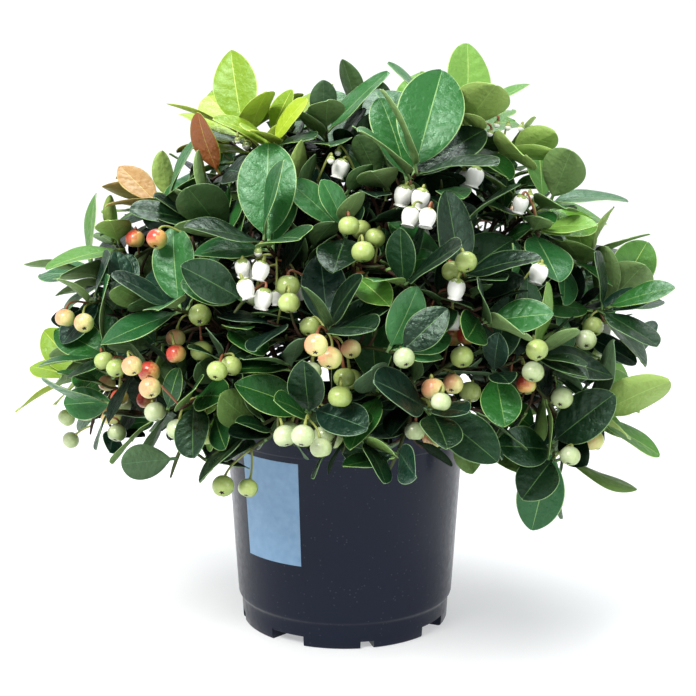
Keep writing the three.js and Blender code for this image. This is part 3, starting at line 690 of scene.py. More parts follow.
# %% Fruit on a stalk with a clear way
FRUIT["bud"] = {"radius": 1.9, "length": 1.7}
HUNG_RADII = {"berry": 4.8, "bell": 3.85, "bud": 1.9}
CLEAR_REACH = 60
CLEAR_SHARE = 0.75
HANG_REACH = 24
LOWEST_FRUIT = 60
FRUIT_ROOM = 1.5
FRUIT_WEIGHT = 1.1
FRUIT_STRAY = 0.35
VIEW_PULL = [0.4, 1.1]
BELL_TURN = 0.25
HUNG_STALK_BEND = 0.4
HUNG_STALK_FROM = 0.3
hung, clear_ways = [], []
spot_draw = Draws(SEED * 5)


def hang(kind, tone, root, centre, view, size, clear_reach):
    """Hangs one fruit from a twig, if it is free there, and notes the way to keep clear."""
    length = FRUIT[kind]["length"] * size
    level = heading(spot_draw() * 360, 0)
    turned = mix(*VIEW_PULL, spot_draw()) * (1 if kind == "berry" else BELL_TURN)
    axis = unit(-UP * FRUIT_WEIGHT + view * turned + level * FRUIT_STRAY)
    top = centre - axis * length / 2
    stalk = Curve(root, top - axis * HUNG_STALK_BEND * np.linalg.norm(top - root), top)
    ball = fruit_shell(stalk, size, length)
    if meets_pot(ball, LOWEST_FRUIT) or thicket.touched(ball):
        return False
    thicket.add(ball)
    thicket.add(limb_shell(stalk, HUNG_STALK_FROM, STALK_TO, [STALK_RADIUS] * 2, 2, 3))
    start, end = centre + view * (size + FRUIT_ROOM), centre + view * clear_reach
    way = Curve(start, mix(start, end, 0.5), end)
    clear_ways.append(limb_shell(way, 0, 1, [size * CLEAR_SHARE] * 2, 1, 6))
    hung.append({"kind": kind, "tone": tone, "stalk": stalk, "size": size})
    return True


# %% Twigs that can carry fruit
CARRIER_SHARES = np.linspace(0.3, 0.97, 9)
carriers = np.array([
    shoot.twig.curve.point(mix(shoot.twig.start, 1, share))
    for mass in masses
    for shoot in mass.shoots
    for share in CARRIER_SHARES
])

# %% Fruit placed by the photograph's pixels
SPOTS = {
    "blush": [(135, 239), (157, 239), (176, 354), (149, 372)],
    "peach": [(65, 318), (84, 323), (330, 358), (351, 349), (316, 345), (453, 384), (433, 389),
              (132, 366), (150, 388)],
    "cream": [(285, 436), (303, 436), (321, 448), (404, 358), (562, 398), (570, 456), (586, 340),
              (117, 433), (441, 402), (533, 372), (155, 412)],
    "green": [(288, 286), (289, 303), (310, 327), (340, 397), (349, 226), (375, 238), (363, 252),
              (361, 230), (452, 271), (466, 262), (537, 350), (231, 366), (104, 361), (200, 315),
              (593, 327), (462, 357), (217, 371), (470, 392), (223, 486), (248, 488), (116, 368)],
    "bell": [(243, 269), (260, 272), (246, 290), (263, 300), (403, 197), (420, 200), (410, 218),
             (427, 219), (474, 178), (538, 275), (456, 290), (520, 205), (340, 170)],
    "bud": [(338, 152), (331, 160), (490, 133), (508, 127), (521, 128), (246, 146), (497, 124),
            (238, 140), (530, 196), (258, 252), (411, 188)],
}
DEPTH_TRIES = [0, -4, 4, -8, 8, -12, 12, -16]
CARRIERS_TRIED = 12
DEPTH_COST = 0.35
TOO_FAR = 1000
NEARER = 3
SPOT_SIZES = [0.88, 1.06]
TONE_KINDS = {"bell": "bell", "bud": "bud"}


def hang_at(tone, pixel):
    """Hangs a fruit on a pixel's line of sight, from the twig that carries it best."""
    kind = TONE_KINDS.get(tone, "berry")
    size = HUNG_RADII[kind] * mix(*SPOT_SIZES, spot_draw())
    sight = line_of_sight(pixel)
    depths = (carriers - CAMERA_PLACE) @ sight
    asides = np.linalg.norm(carriers - CAMERA_PLACE - depths[:, None] * sight, axis=1)
    costs = asides + DEPTH_COST * depths + np.where(asides > HANG_REACH, TOO_FAR, 0)
    for best in np.argsort(costs)[:CARRIERS_TRIED]:
        for further in DEPTH_TRIES:
            centre = CAMERA_PLACE + sight * (depths[best] - size - NEARER + further)
            if hang(kind, tone, carriers[best], centre, -sight, size, CLEAR_REACH):
                return True
    return False


missed = [
    (tone, pixel) for tone, spots in SPOTS.items() for pixel in spots if not hang_at(tone, pixel)
]
print("hung by pixel", len(hung), "missed", missed)

# %% Fruit by chance behind
TONES = ["green", "cream", "peach", "blush", "bell"]
TONE_SPAN = 4.6
CHANCE = 0.6
CHANCE_TRIES = 6
FACING_CAMERA = 0.1
HIDDEN_BEHIND, HIDDEN_BELOW = 0, 215
FEWEST_TOGETHER, MORE_TOGETHER = 2, 3
CHANCE_SIZES = [0.85, 1.06]
CHANCE_ROOTS = [0.4, 0.97]
CHANCE_OUTWARDS = [9, 20]
CHANCE_DROPS = [0, 12]
CHANCE_STRAY = 0.5


def hang_by_chance(mass, twig, kind, tone):
    """Hangs one fruit somewhere round a twig, where it stays out of the photograph's view."""
    for _ in range(CHANCE_TRIES):
        size = HUNG_RADII[kind] * mix(*CHANCE_SIZES, spot_draw())
        root = twig.curve.point(mix(twig.start, 1, mix(*CHANCE_ROOTS, spot_draw())))
        way = unit(mass.out + CHANCE_STRAY * heading(spot_draw() * 360, 0))
        outwards = way * mix(*CHANCE_OUTWARDS, spot_draw())
        centre = root + outwards - UP * mix(*CHANCE_DROPS, spot_draw())
        if centre[1] < HIDDEN_BEHIND or centre[2] > HIDDEN_BELOW:
            continue
        if hang(kind, tone, root, centre, way, size, CLEAR_REACH / 2):
            return


before = len(hung)
for mass in masses:
    for shoot in mass.shoots:
        if spot_draw() > CHANCE or mass.out @ camera_side > FACING_CAMERA:
            continue
        tone = TONES[int(spot_draw() * TONE_SPAN)]
        for _ in range(FEWEST_TOGETHER + int(spot_draw() * MORE_TOGETHER)):
            hang_by_chance(mass, shoot.twig, TONE_KINDS.get(tone, "berry"), tone)
print("hung by chance", len(hung) - before)
for way in clear_ways:
    thicket.add(way)

# %% Growing the source's leaves
for order in range(SIDE_TWIGS + 1):
    for mass in masses:
        if order < len(mass.shoots):
            grow_rosette(mass, mass.shoots[order], mass.draw)
source_shoots = [shoot for mass in masses for shoot in mass.shoots]
print("shoots", len(source_shoots), "leaves", sum(len(s.leaves) for s in source_shoots))
print("fruit", sum(len(s.fruit) for s in source_shoots))

# %% [markdown]
# ## Finer twigs
# The solids stop at the main shoots, while the real plant carries short spurs below each
# rosette, with smaller leaves that close the crown. The same rule goes on here: each spur
# forks from a twig, turns until it is free, and ends in a small rosette of its own. Others
# grow on the stems inside the crown, and their leaves close its shade.

# %% Spurs
SPUR_RADII = [0.7, 0.55]
SPUR_LEAVES = 4
SPUR_LENGTH = 13
SPUR_TRIES = 7
SPUR_TURN_STEP = 50
SPUR_SIZES = [0.6, 0.84]
SPUR_LENGTH_SHARES = [0.8, 1.5]
SPUR_FORWARDS, SPUR_UPWARDS = 0.5, 0.25
SPUR_BEND = 0.5
SPUR_FROM, INNER_FROM, SPUR_FREE_FROM = 0.1, 0.3, 0.35
SPUR_PLACES = {"lead": [0.04, 0.2, 0.34, 0.5, 0.62], "side": [0.3, 0.46, 0.6]}
INNER_PLACES = [-0.62, -0.4, -0.2, -0.05]
INNER_SIZES = [0.8, 1]


def add_spur(mass, parent, share, draw, near=SPUR_FROM):
    """A short twig on a longer one, or none where it would touch anything; near is where
    its room begins."""
    ahead = parent.curve.slope(mix(parent.start, 1, share))
    first, second = across(ahead)
    root = parent.curve.point(mix(parent.start, 1, share))
    turn, reach = draw() * 360, SPUR_LENGTH * mix(*SPUR_LENGTH_SHARES, draw())
    size = mix(*SPUR_SIZES, draw())
    for attempt in range(SPUR_TRIES):
        angle = math.radians(turn + swing(attempt) * SPUR_TURN_STEP)
        aside = first * math.cos(angle) + second * math.sin(angle)
        way = unit(aside + ahead * SPUR_FORWARDS + UP * SPUR_UPWARDS)
        end = root + way * reach
        if not in_own_space(mass, end, LEAF_OVERHANG):
            continue
        curve = Curve(root, root + unit(aside + ahead) * reach * SPUR_BEND, end)
        twig = Twig(curve, 0, SPUR_RADII, [], SPUR_LEAVES)
        whole = limb_shell(curve, near, 1, SPUR_RADII, 2, 3)
        part = limb_shell(curve, SPUR_FREE_FROM, 1, SPUR_RADII, 2, 3)
        if meets_pot(part, mass.lowest) or thicket.touched(whole, part, parent, twig):
            continue
        shoot = Shoot(twig, size, SPUR_LEAVES, "spur")
        thicket.add(whole, part, parent, twig)
        mass.shoots.append(shoot)
        return shoot
    return None


# %% Growing the spurs
fine_draw = Draws(SEED * 3)
for mass in masses:
    for carrier in list(mass.shoots):
        for share in SPUR_PLACES[carrier.rank]:
            spur = add_spur(mass, carrier.twig, share, fine_draw)
            if spur:
                grow_rosette(mass, spur, fine_draw)
for share in INNER_PLACES:
    for mass in masses:
        spur = add_spur(mass, mass.shoots[0].twig, share, fine_draw, near=INNER_FROM)
        if spur:
            spur.rank, spur.size = "inner", mix(*INNER_SIZES, fine_draw())
            grow_rosette(mass, spur, fine_draw)
shoots = [shoot for mass in masses for shoot in mass.shoots]
leaves = [leaf for shoot in shoots for leaf in shoot.leaves]
SOURCE_TONE_SPAN = 3.4
tone_draw = Draws(SEED * 19)
fruit = list(hung)
for shoot in shoots:
    for one in shoot.fruit:
        tone = TONES[int(tone_draw() * SOURCE_TONE_SPAN)]
        fruit.append(one | {"tone": tone if one["kind"] == "berry" else "bell"})
print("with spurs: shoots", len(shoots), "leaves", len(leaves), "fruit", len(fruit))

# %% [markdown]
# ## Joined meshes
# Hundreds of separate leaf objects would be slow to handle. So each kind goes
# into one pile of points and faces, with a slot number for each face's finish, and the pile
# becomes one mesh. Writing the arrays straight into the mesh takes a moment, where adding
# objects and joining them by operator would take minutes.


# %% Piles
class Pile:
    """Points and faces of one kind of thing, gathered into a single piece."""

    def __init__(self):
        self.points, self.corners, self.totals, self.slots, self.count = [], [], [], [], 0

    def add(self, points, faces, slots):
        """Points with faces on them."""
        self.points.append(np.asarray(points, float).reshape(-1, 3))
        self.add_faces(faces, slots, self.count)
        self.count += len(self.points[-1])

    def add_faces(self, faces, slots, start):
        """Faces, all with as many corners, on points that are in the pile from start on.
        slots is one number or one for each face."""
        faces = np.asarray(faces)
        self.corners.append((faces + start).ravel())
        self.totals.append(np.full(len(faces), faces.shape[1]))
        self.slots.append(np.broadcast_to(slots, len(faces)))

    def piece(self, name, materials, sharp=None):
        """The pile as one smooth-shaded object; edges steeper than sharp stay crisp."""
        points = np.concatenate(self.points) * MM
        totals = np.concatenate(self.totals)
        mesh = bpy.data.meshes.new(name)
        mesh.vertices.add(len(points))
        mesh.vertices.foreach_set("co", points.astype(np.float32).ravel())
        corners = np.concatenate(self.corners).astype(np.int32)
        mesh.loops.add(len(corners))
        mesh.loops.foreach_set("vertex_index", corners)
        mesh.polygons.add(len(totals))
        starts = np.concatenate([[0], np.cumsum(totals)[:-1]]).astype(np.int32)
        mesh.polygons.foreach_set("loop_start", starts)
        slots = np.concatenate(self.slots).astype(np.int32)
        mesh.polygons.foreach_set("material_index", slots)
        mesh.update(calc_edges=True)
        mesh.validate()
        mesh.shade_smooth()
        if sharp:
            mesh.set_sharp_from_angle(angle=math.radians(sharp))
        for material in materials:
            mesh.materials.append(material)
        piece = bpy.data.objects.new(name, mesh)
        bpy.context.scene.collection.objects.link(piece)
        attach(piece, "root")
        print(name, "triangles", int((totals - 2).sum()))
        return piece


def grid_faces(rows, columns, closed):
    """Quads between rows of points; closed joins the last column to the first."""
    span = columns if closed else columns - 1
    row, column = np.meshgrid(np.arange(rows - 1), np.arange(span), indexing="ij")
    a = row * columns + column
    b = row * columns + (column + 1) % columns
    return np.stack([a, b, b + columns, a + columns], axis=-1).reshape(-1, 4)


# %% Solids turned round an axis, and tubes along a curve
def add_turned(pile, rings, slots):
    """Rings of points, from one end to the other, closed by a fan at each end."""
    rows, sides = len(rings), len(rings[0])
    start = pile.count
    faces = grid_faces(rows, sides, True)
    pile.add(np.concatenate(rings), faces, np.repeat(slots, sides))
    first = [np.arange(sides)[::-1]]
    last = [np.arange(sides) + (rows - 1) * sides]
    pile.add_faces(first, slots[0], start)
    pile.add_faces(last, slots[-1], start)


def tube_rings(curve, shares, radii, sides, relief=None):
    """Rings along a curve; relief gives how far each point stands out, in millimetres."""
    relief = np.zeros((len(shares), sides)) if relief is None else relief
    return [
        ring_round(curve, t, radius + proud[:, None], sides)
        for t, radius, proud in zip(shares, radii, relief)
    ]


# %% [markdown]
# ## Finishes
# Leaves, skins and petals keep one plain base colour each, so that an exported model shows
# the right colour in the right place, and different tints come from different slots. Grain
# and specks are effects that many finishes share, so each is a node group: it puts out only
# a mask, which then drives roughness, bump or a mix of two colours in the material itself.


# %% The grain and speck groups
def wire(tree, *pairs):
    """Links each output to the input it is paired with."""
    for output, socket in pairs:
        tree.links.new(output, socket)


def new_group(name, **inputs):
    """An empty shader group with float inputs and one float output, Mask."""
    group = bpy.data.node_groups.new(name, "ShaderNodeTree")
    for label, default in inputs.items():
        socket = group.interface.new_socket(name=label, in_out="INPUT", socket_type="NodeSocketFloat")
        socket.default_value = default
    group.interface.new_socket(name="Mask", in_out="OUTPUT", socket_type="NodeSocketFloat")
    place = group.nodes.new("ShaderNodeTexCoord").outputs["Object"]
    values = group.nodes.new("NodeGroupInput").outputs
    return group, place, values, group.nodes.new("NodeGroupOutput").inputs["Mask"]


def make_grain():
    """Soft uneven patches at one scale."""
    group, place, values, mask = new_group("grain", Scale=200.0, Detail=4.0)
    noise = group.nodes.new("ShaderNodeTexNoise")
    wire(
        group,
        (place, noise.inputs["Vector"]),
        (values["Scale"], noise.inputs["Scale"]),
        (values["Detail"], noise.inputs["Detail"]),
        (noise.outputs["Fac"], mask),
    )
    return group


def make_specks():
    """Small dots, as dust on plastic: only the middles of some cells show."""
    group, place, values, mask = new_group("specks", Scale=500.0, Size=0.2, Share=0.3)
    cells = group.nodes.new("ShaderNodeTexVoronoi")
    near, chosen, both = [group.nodes.new("ShaderNodeMath") for _ in range(3)]
    near.operation, chosen.operation, both.operation = "LESS_THAN", "LESS_THAN", "MULTIPLY"
    wire(
        group,
        (place, cells.inputs["Vector"]),
        (values["Scale"], cells.inputs["Scale"]),
        (cells.outputs["Distance"], near.inputs[0]),
        (values["Size"], near.inputs[1]),
        (cells.outputs["Color"], chosen.inputs[0]),
        (values["Share"], chosen.inputs[1]),
        (near.outputs[0], both.inputs[0]),
        (chosen.outputs[0], both.inputs[1]),
        (both.outputs[0], mask),
    )
    return group


GRAIN, SPECKS = make_grain(), make_specks()


# %% Material helpers
def linear(red, green, blue):
    """A colour picked in the 0 to 255 steps of a screen, as Blender's linear values."""
    steps = [v / 255 for v in (red, green, blue)]
    straight = [v / 12.92 if v <= 0.04045 else ((v + 0.055) / 1.055) ** 2.4 for v in steps]
    return (*straight, 1.0)


def shader_of(material):
    return material.node_tree.nodes["Principled BSDF"]


def finish(name, colour, roughness, **sockets):
    """A Principled material with plain values; an underscore stands for a space."""
    material = bpy.data.materials.new(name)
    material.use_nodes = True
    sockets |= {"Base_Color": colour, "Roughness": roughness}
    for label, value in sockets.items():
        shader_of(material).inputs[label.replace("_", " ")].default_value = value
    return material


def add_mask(material, group, **values):
    node = material.node_tree.nodes.new("ShaderNodeGroup")
    node.node_tree = group
    for label, value in values.items():
        node.inputs[label].default_value = value
    return node.outputs["Mask"]


def add_spread(material, mask, low, high):
    """The roughness runs from low to high with a mask."""
    node = material.node_tree.nodes.new("ShaderNodeMapRange")
    least, most = 0.3, 0.7
    for label, value in (("From Min", least), ("From Max", most), ("To Min", low), ("To Max", high)):
        node.inputs[label].default_value = value
    rough = shader_of(material).inputs["Roughness"]
    wire(material.node_tree, (mask, node.inputs["Value"]), (node.outputs["Result"], rough))


def add_bump(material, mask, height, strength):
    """Relief from a mask; height is in metres."""
    node = material.node_tree.nodes.new("ShaderNodeBump")
    node.inputs["Strength"].default_value = strength
    node.inputs["Distance"].default_value = height
    normal = shader_of(material).inputs["Normal"]
    wire(material.node_tree, (mask, node.inputs["Height"]), (node.outputs["Normal"], normal))


def add_tint(material, mask, low, high):
    """The base colour runs from low to high with a mask."""
    node = material.node_tree.nodes.new("ShaderNodeMix")
    node.data_type = "RGBA"
    node.inputs[6].default_value = linear(*low)
    node.inputs[7].default_value = linear(*high)
    colour = shader_of(material).inputs["Base Color"]
    wire(material.node_tree, (mask, node.inputs["Factor"]), (node.outputs[2], colour))


def grained(name, colour, roughness, grain, bump=None, tints=None, rough=None, **sockets):
    """A finish with a grain of (scale, detail). It can give a bump of (height, strength), two
    tints for the base colour to run between, and a range for the roughness."""
    material = finish(name, linear(*colour), roughness, **sockets)
    mask = add_mask(material, GRAIN, Scale=grain[0], Detail=grain[1])
    if rough:
        add_spread(material, mask, *rough)
    if tints:
        add_tint(material, mask, *tints)
    if bump:
        add_bump(material, mask, *bump)
    return material


# %% [markdown]
# ## Leaf finishes
# A wintergreen leaf is leathery and glossy, deep green above with a paler underside, a pale
# midrib and a thin pale margin, which is made paler still by a painted highlight where its
# edge catches light. The brighter green of leaves in the light is painted light, and the dull,
# nearly black tint of those deep in the crown is painted shade. Fresh leaves are yellow-green
# and softer, and a few have turned bronze or peach. Each tint is a material for each part of
# the leaf; the gloss is uneven, which a fine grain in the roughness and a little bump give
# without touching the colour.

# %% Leaf tints: three shades of blade, midrib, margin and underside of each
SHEEN = (0.62, 0.95, 0.7, 1.0)
LEAF_GRAIN = (420.0, 4.0)
LEAF_BUMP = (0.0007, 0.9)
YOUNG_TINTS = ("fresh", "lime", "bronze", "peach")
YOUNG_ROUGH, OLD_ROUGH = 0.42, 0.36
YOUNG_COAT, OLD_COAT = 0.08, 0.12
# The near-black tint of the leaves deep in the crown is painted shade, and its gloss is cut low too.
FULL_GLOSS, PAINTED_SHADE_GLOSS = 0.5, 0.12
# Each rim colour is a real pale margin with a painted highlight in it, so it is far lighter than the
# blade.
TINTS = {
    # Painted shade: a dull, nearly black tint for leaves deep in the crown.
    "painted_shade": {"blades": [(5, 17, 9), (4, 13, 8), (7, 22, 11)], "rib": (22, 38, 20),
             "rim": (34, 52, 30), "under": (18, 32, 17)},
    "deep": {"blades": [(11, 36, 16), (8, 28, 15), (15, 45, 20)], "rib": (80, 114, 62),
             "rim": (116, 146, 94), "under": (62, 86, 48)},
    "blue": {"blades": [(12, 38, 28), (18, 50, 36), (10, 33, 26)], "rib": (84, 116, 84),
             "rim": (120, 148, 110), "under": (74, 98, 68)},
    "green": {"blades": [(24, 68, 23), (34, 86, 31), (19, 58, 21)], "rib": (106, 142, 70),
              "rim": (142, 172, 100), "under": (92, 120, 60)},
    "mid": {"blades": [(42, 98, 42), (54, 110, 56), (36, 88, 44)], "rib": (126, 162, 98),
            "rim": (154, 182, 120), "under": (112, 138, 84)},
    "fresh": {"blades": [(92, 138, 46), (114, 156, 66), (78, 126, 44)], "rib": (164, 190, 104),
              "rim": (174, 198, 118), "under": (146, 172, 92)},
    "lime": {"blades": [(142, 166, 30), (160, 182, 50), (122, 152, 34)], "rib": (190, 204, 98),
             "rim": (188, 202, 104), "under": (158, 180, 66)},
    "bronze": {"blades": [(132, 68, 24), (142, 84, 32), (118, 78, 28)], "rib": (164, 146, 70),
               "rim": (150, 160, 64), "under": (128, 120, 50)},
    "peach": {"blades": [(176, 124, 84), (166, 124, 74), (182, 136, 96)], "rib": (196, 172, 108),
              "rim": (188, 172, 104), "under": (168, 140, 90)},
}
BLADE_SHADES = 3
RIB, RIM, UNDER = 3, 4, 5
LEAF_UNEVEN = (-0.12, 0.16)
UNDER_ROUGH = 0.55
RIB_DULLER, RIM_DULLER = 0.08, 0.1


def leaf_finish(name, colour, roughness, coat, gloss):
    rough = [roughness + change for change in LEAF_UNEVEN]
    return grained(
        name, colour, roughness, LEAF_GRAIN, bump=LEAF_BUMP, rough=rough, Coat_Weight=coat,
        Coat_Roughness=0.26, Specular_IOR_Level=gloss, Specular_Tint=SHEEN,
    )


leaf_materials = {}
for tint, colours in TINTS.items():
    rough, coat = (YOUNG_ROUGH, YOUNG_COAT) if tint in YOUNG_TINTS else (OLD_ROUGH, OLD_COAT)
    gloss = PAINTED_SHADE_GLOSS if tint == "painted_shade" else FULL_GLOSS
    coat = coat * gloss / FULL_GLOSS
    leaf_materials[tint] = [
        leaf_finish(f"leaf_{tint}_{k}", colour, rough, coat, gloss)
        for k, colour in enumerate(colours["blades"])
    ] + [
        leaf_finish(f"leaf_{tint}_rib", colours["rib"], rough + RIB_DULLER, 0.0, gloss),
        leaf_finish(f"leaf_{tint}_rim", colours["rim"], rough + RIM_DULLER, 0.0, gloss),
        leaf_finish(f"leaf_{tint}_under", colours["under"], UNDER_ROUGH, 0.0, gloss / 2),
    ]
print("leaf tints", len(leaf_materials))

# %% [markdown]
# ## Leaves as solids
# The blade is a grid of points from stalk to tip and from edge to edge, on the same folded,
# drooping surface that the rule used, with the finer shape added: side veins as valleys with
# the leaf swelling between them, a margin that rolls down and waves, and a blunt tip. It is
# a thin solid, so its rim catches light, and narrow strips of faces are midrib and margin.
# The margin strips and the rim's faces take a colour that is the pale margin with a painted
# highlight in it.

# %% Leaf grids
VEIN_PAIRS = 5
SPUR_VEIN_PAIRS = 2
VEIN_ROWS = [-1.0, 0.15, 0.5, 0.15]
VEIN_DEPTH = 0.0085
VEIN_LEAN = 0.2
VEIN_CURVE = 1.2
FIRST_VEIN, LAST_VEIN = 0.07, 0.92
RIB_FADE, EDGE_FADE, TIP_FADE = 7, 6, 0.4
STALK_STOPS = np.array([-0.03, 0.03, 0.085])
FIRST_STOPS, LAST_STOPS = [0.004, 0.03], [0.955, 0.98, 0.994]
BLADE_ENDS = 1e-6, 0.9985
BLADE_START = 0.15
STALK_THICKNESS, LEAF_THICKNESS = 1.4, 0.5
EDGE_THINNING = 0.86
STALK_HALF = 0.75
LEAF_WIDTHS = [1.02, 1.12]
STALK_CURVES = [0.66, 0.8]
TIP_CURVES = [0.6, 0.74]
MARGIN_ROLL = 0.06
MARGIN_WAVE = 0.018
WAVE_FAST, WAVE_SLOW, WAVE_SKEW = 7, 4, 1.2
CREASE_ROUND = 0.004
FINE_ASIDE = [-1, -0.965, -0.68, -0.38, -0.12, -0.02, 0.02, 0.12, 0.38, 0.68, 0.965, 1]
FINE_UNDER = [0, 3, 5, 6, 8, 11]
COARSE_ASIDE = [-1, -0.95, -0.5, -0.03, 0.03, 0.5, 0.95, 1]
COARSE_UNDER = [0, 3, 4, 7]


def leaf_grid(aside, under, pairs):
    """Stations along a leaf, the relief at each, its stops aside and those underneath."""
    stations = np.linspace(FIRST_VEIN, LAST_VEIN, len(VEIN_ROWS) * pairs + 1)
    relief = np.array([VEIN_ROWS[k % len(VEIN_ROWS)] for k in range(len(stations))])
    first = np.concatenate([STALK_STOPS - STALK_SHARE, FIRST_STOPS])
    along = np.concatenate([first, stations, LAST_STOPS])[:, None]
    relief = np.concatenate([np.zeros(len(first)), relief, np.zeros(len(LAST_STOPS))])[:, None]
    return {"along": along, "relief": relief, "aside": np.array(aside)[None, :], "under": under}


FINE = leaf_grid(FINE_ASIDE, FINE_UNDER, VEIN_PAIRS)
COARSE = leaf_grid(COARSE_ASIDE, COARSE_UNDER, SPUR_VEIN_PAIRS)
PLAIN = leaf_grid(COARSE_ASIDE, COARSE_UNDER, 1)
GRIDS = {"lead": FINE, "side": FINE, "spur": COARSE, "inner": PLAIN}
style_draw = Draws(SEED * 7)


def leaf_rows(leaf, grid):
    """Top and underside points of a leaf, in rows from root to tip that follow its veins."""
    length, width = leaf["length"], leaf["width"] * mix(*LEAF_WIDTHS, style_draw())
    wave, skew = style_draw() * ANY_PHASE, style_draw() - 0.5
    towards_stalk, towards_tip = [mix(*way, style_draw()) for way in (STALK_CURVES, TIP_CURVES)]
    aside, middle_line = grid["aside"], np.abs(grid["aside"])
    on_blade = np.clip(grid["along"], 0, 1)
    blade = on_blade + VEIN_LEAN * np.sin(math.pi * on_blade) * middle_line**VEIN_CURVE
    blade = np.clip(blade, *BLADE_ENDS)
    along = np.where(grid["along"] > 0, blade, grid["along"])
    reach = length * (STALK_SHARE + along)
    half = width / 2 * leaf_outline(blade, towards_stalk, towards_tip)
    half = np.where(along < 0.5, np.maximum(half, STALK_HALF), half)
    inside = np.clip(along / BLADE_START, 0, 1)
    crease = np.sqrt(aside**2 + CREASE_ROUND) - math.sqrt(CREASE_ROUND)
    height = LEAF_FOLD * crease * half - leaf["droop"] * reach**2 / length
    window = np.clip(middle_line * RIB_FADE, 0, 1) * (1 - middle_line**EDGE_FADE)
    window = window * (1 - TIP_FADE * blade)
    height = height + VEIN_DEPTH * length * grid["relief"] * window
    height = height - MARGIN_ROLL * half * middle_line**4 * inside
    sway = np.sin(WAVE_FAST * blade + wave) * np.sign(aside)
    sway = sway + WAVE_SKEW * skew * np.sin(WAVE_SLOW * blade + wave)
    height = height + MARGIN_WAVE * length * middle_line**2 * sway * inside
    middle = leaf["root"] + leaf["direction"] * reach[..., None]
    middle = middle + leaf["side"] * (aside * half)[..., None] + leaf["normal"] * height[..., None]
    fat = mix(STALK_THICKNESS, LEAF_THICKNESS, inside)
    thickness = fat * np.sqrt(1 - EDGE_THINNING * aside**2) / 2
    lift = leaf["normal"] * thickness[..., None]
    return middle + lift, (middle - lift)[:, grid["under"]]


def add_leaf(pile, leaf, grid, shade):
    """One leaf in a pile. shade picks which of the blade slots its top shows."""
    top, under = leaf_rows(leaf, grid)
    rows, columns = top.shape[:2]
    below = under.shape[1]
    strips = np.full(columns - 1, shade)
    strips[(columns - 2) // 2] = RIB
    # The margin strips and the rim's faces take the rim colour, a pale margin with a painted
    # highlight.
    strips[[0, -1]] = RIM
    slots = np.tile(strips, rows - 1)
    slots[: 2 * (columns - 1)] = RIB
    start = pile.count
    pile.add(top, grid_faces(rows, columns, False), slots)
    under_strips = np.full(below - 1, UNDER)
    under_strips[(below - 2) // 2] = RIB
    pile.add(under, grid_faces(rows, below, False)[:, ::-1], np.tile(under_strips, rows - 1))
    left = np.arange(rows) * columns
    right = left + columns - 1
    low_left = rows * columns + np.arange(rows) * below
    low_right = low_left + below - 1
    rims = [
        np.stack([left[1:], low_left[1:], low_left[:-1], left[:-1]], axis=1),
        np.stack([right[:-1], low_right[:-1], low_right[1:], right[1:]], axis=1),
    ]
    pile.add_faces(np.concatenate(rims), RIM, start)
    for row, flip in ((0, False), (rows - 1, True)):
        end = np.concatenate([left[row] + np.arange(columns), low_left[row] + np.arange(below)[::-1]])
        pile.add_faces([end if flip else end[::-1]], RIM, start)


# %% Which tint each leaf has: spots seen from the front, as x, z, reach and tint; the mid ones are patches of brighter green, the others flushes of young or turned leaves
FLUSHES = [
    (100, 215, 22, "mid"), (-53, 257, 30, "lime"), (68, 264, 30, "fresh"), (96, 255, 32, "fresh"),
    (143, 105, 26, "fresh"), (112, 205, 18, "fresh"), (-138, 118, 14, "lime"),
    (-112, 196, 14, "fresh"), (91, 233, 14, "fresh"), (-37, 212, 12, "mid"), (25, 245, 16, "mid"),
    (-122, 132, 12, "mid"), (114, 220, 12, "mid"), (74, 192, 10, "mid"), (-67, 180, 12, "mid"),
    (-130, 174, 14, "mid"), (-63, 233, 8, "bronze"), (-104, 212, 10, "peach"),
]
FLUSH_SHARE = 0.96
FLUSH_BACK = 40
# The shares paint light and shade by place: leaves of the leading shoots, at the crown's outside, are
# more often the brighter mid green, as painted light; spur leaves often, and inner leaves always,
# take the near-black painted shade tint; and leading leaves low in the crown get fewer mid and more
# dark tints, as painted shade.
RANK_SHARES = {
    "lead": [("mid", 0.42), ("deep", 0.58), ("blue", 0.73), ("green", 1)],
    "side": [("mid", 0.14), ("deep", 0.5), ("blue", 0.68), ("green", 1)],
    "spur": [("painted_shade", 0.42), ("deep", 0.72), ("blue", 0.84), ("green", 0.97), ("mid", 1)],
    "inner": [("painted_shade", 1)],
    "low": [("mid", 0.2), ("deep", 0.58), ("blue", 0.78), ("green", 1)],
}
# Below this height the leading leaves are darker, as painted shade.
SHADED_BELOW = 205
YOUNG_AGE = 0.5
tint_draw = Draws(SEED * 11)


def tint_of(leaf):
    """The tint of the last spot a leaf lies in, or else one by chance for its rank and height, whose
    shares hold painted light and shade.
    """
    x, _, z = leaf["root"] + leaf["direction"] * leaf["length"] * 0.5
    chance = tint_draw()
    flushing = chance < FLUSH_SHARE and leaf["root"][1] < FLUSH_BACK
    for spot_x, spot_z, reach, tint in reversed(FLUSHES):
        if flushing and math.hypot(x - spot_x, z - spot_z) < reach:
            return tint
    rank = leaf["shoot"].rank
    if chance > FLUSH_SHARE and leaf["age"] < YOUNG_AGE and rank != "inner":
        return "fresh"
    shares = RANK_SHARES["low" if rank == "lead" and z < SHADED_BELOW else rank]
    return next(tint for tint, share in shares if chance <= share)


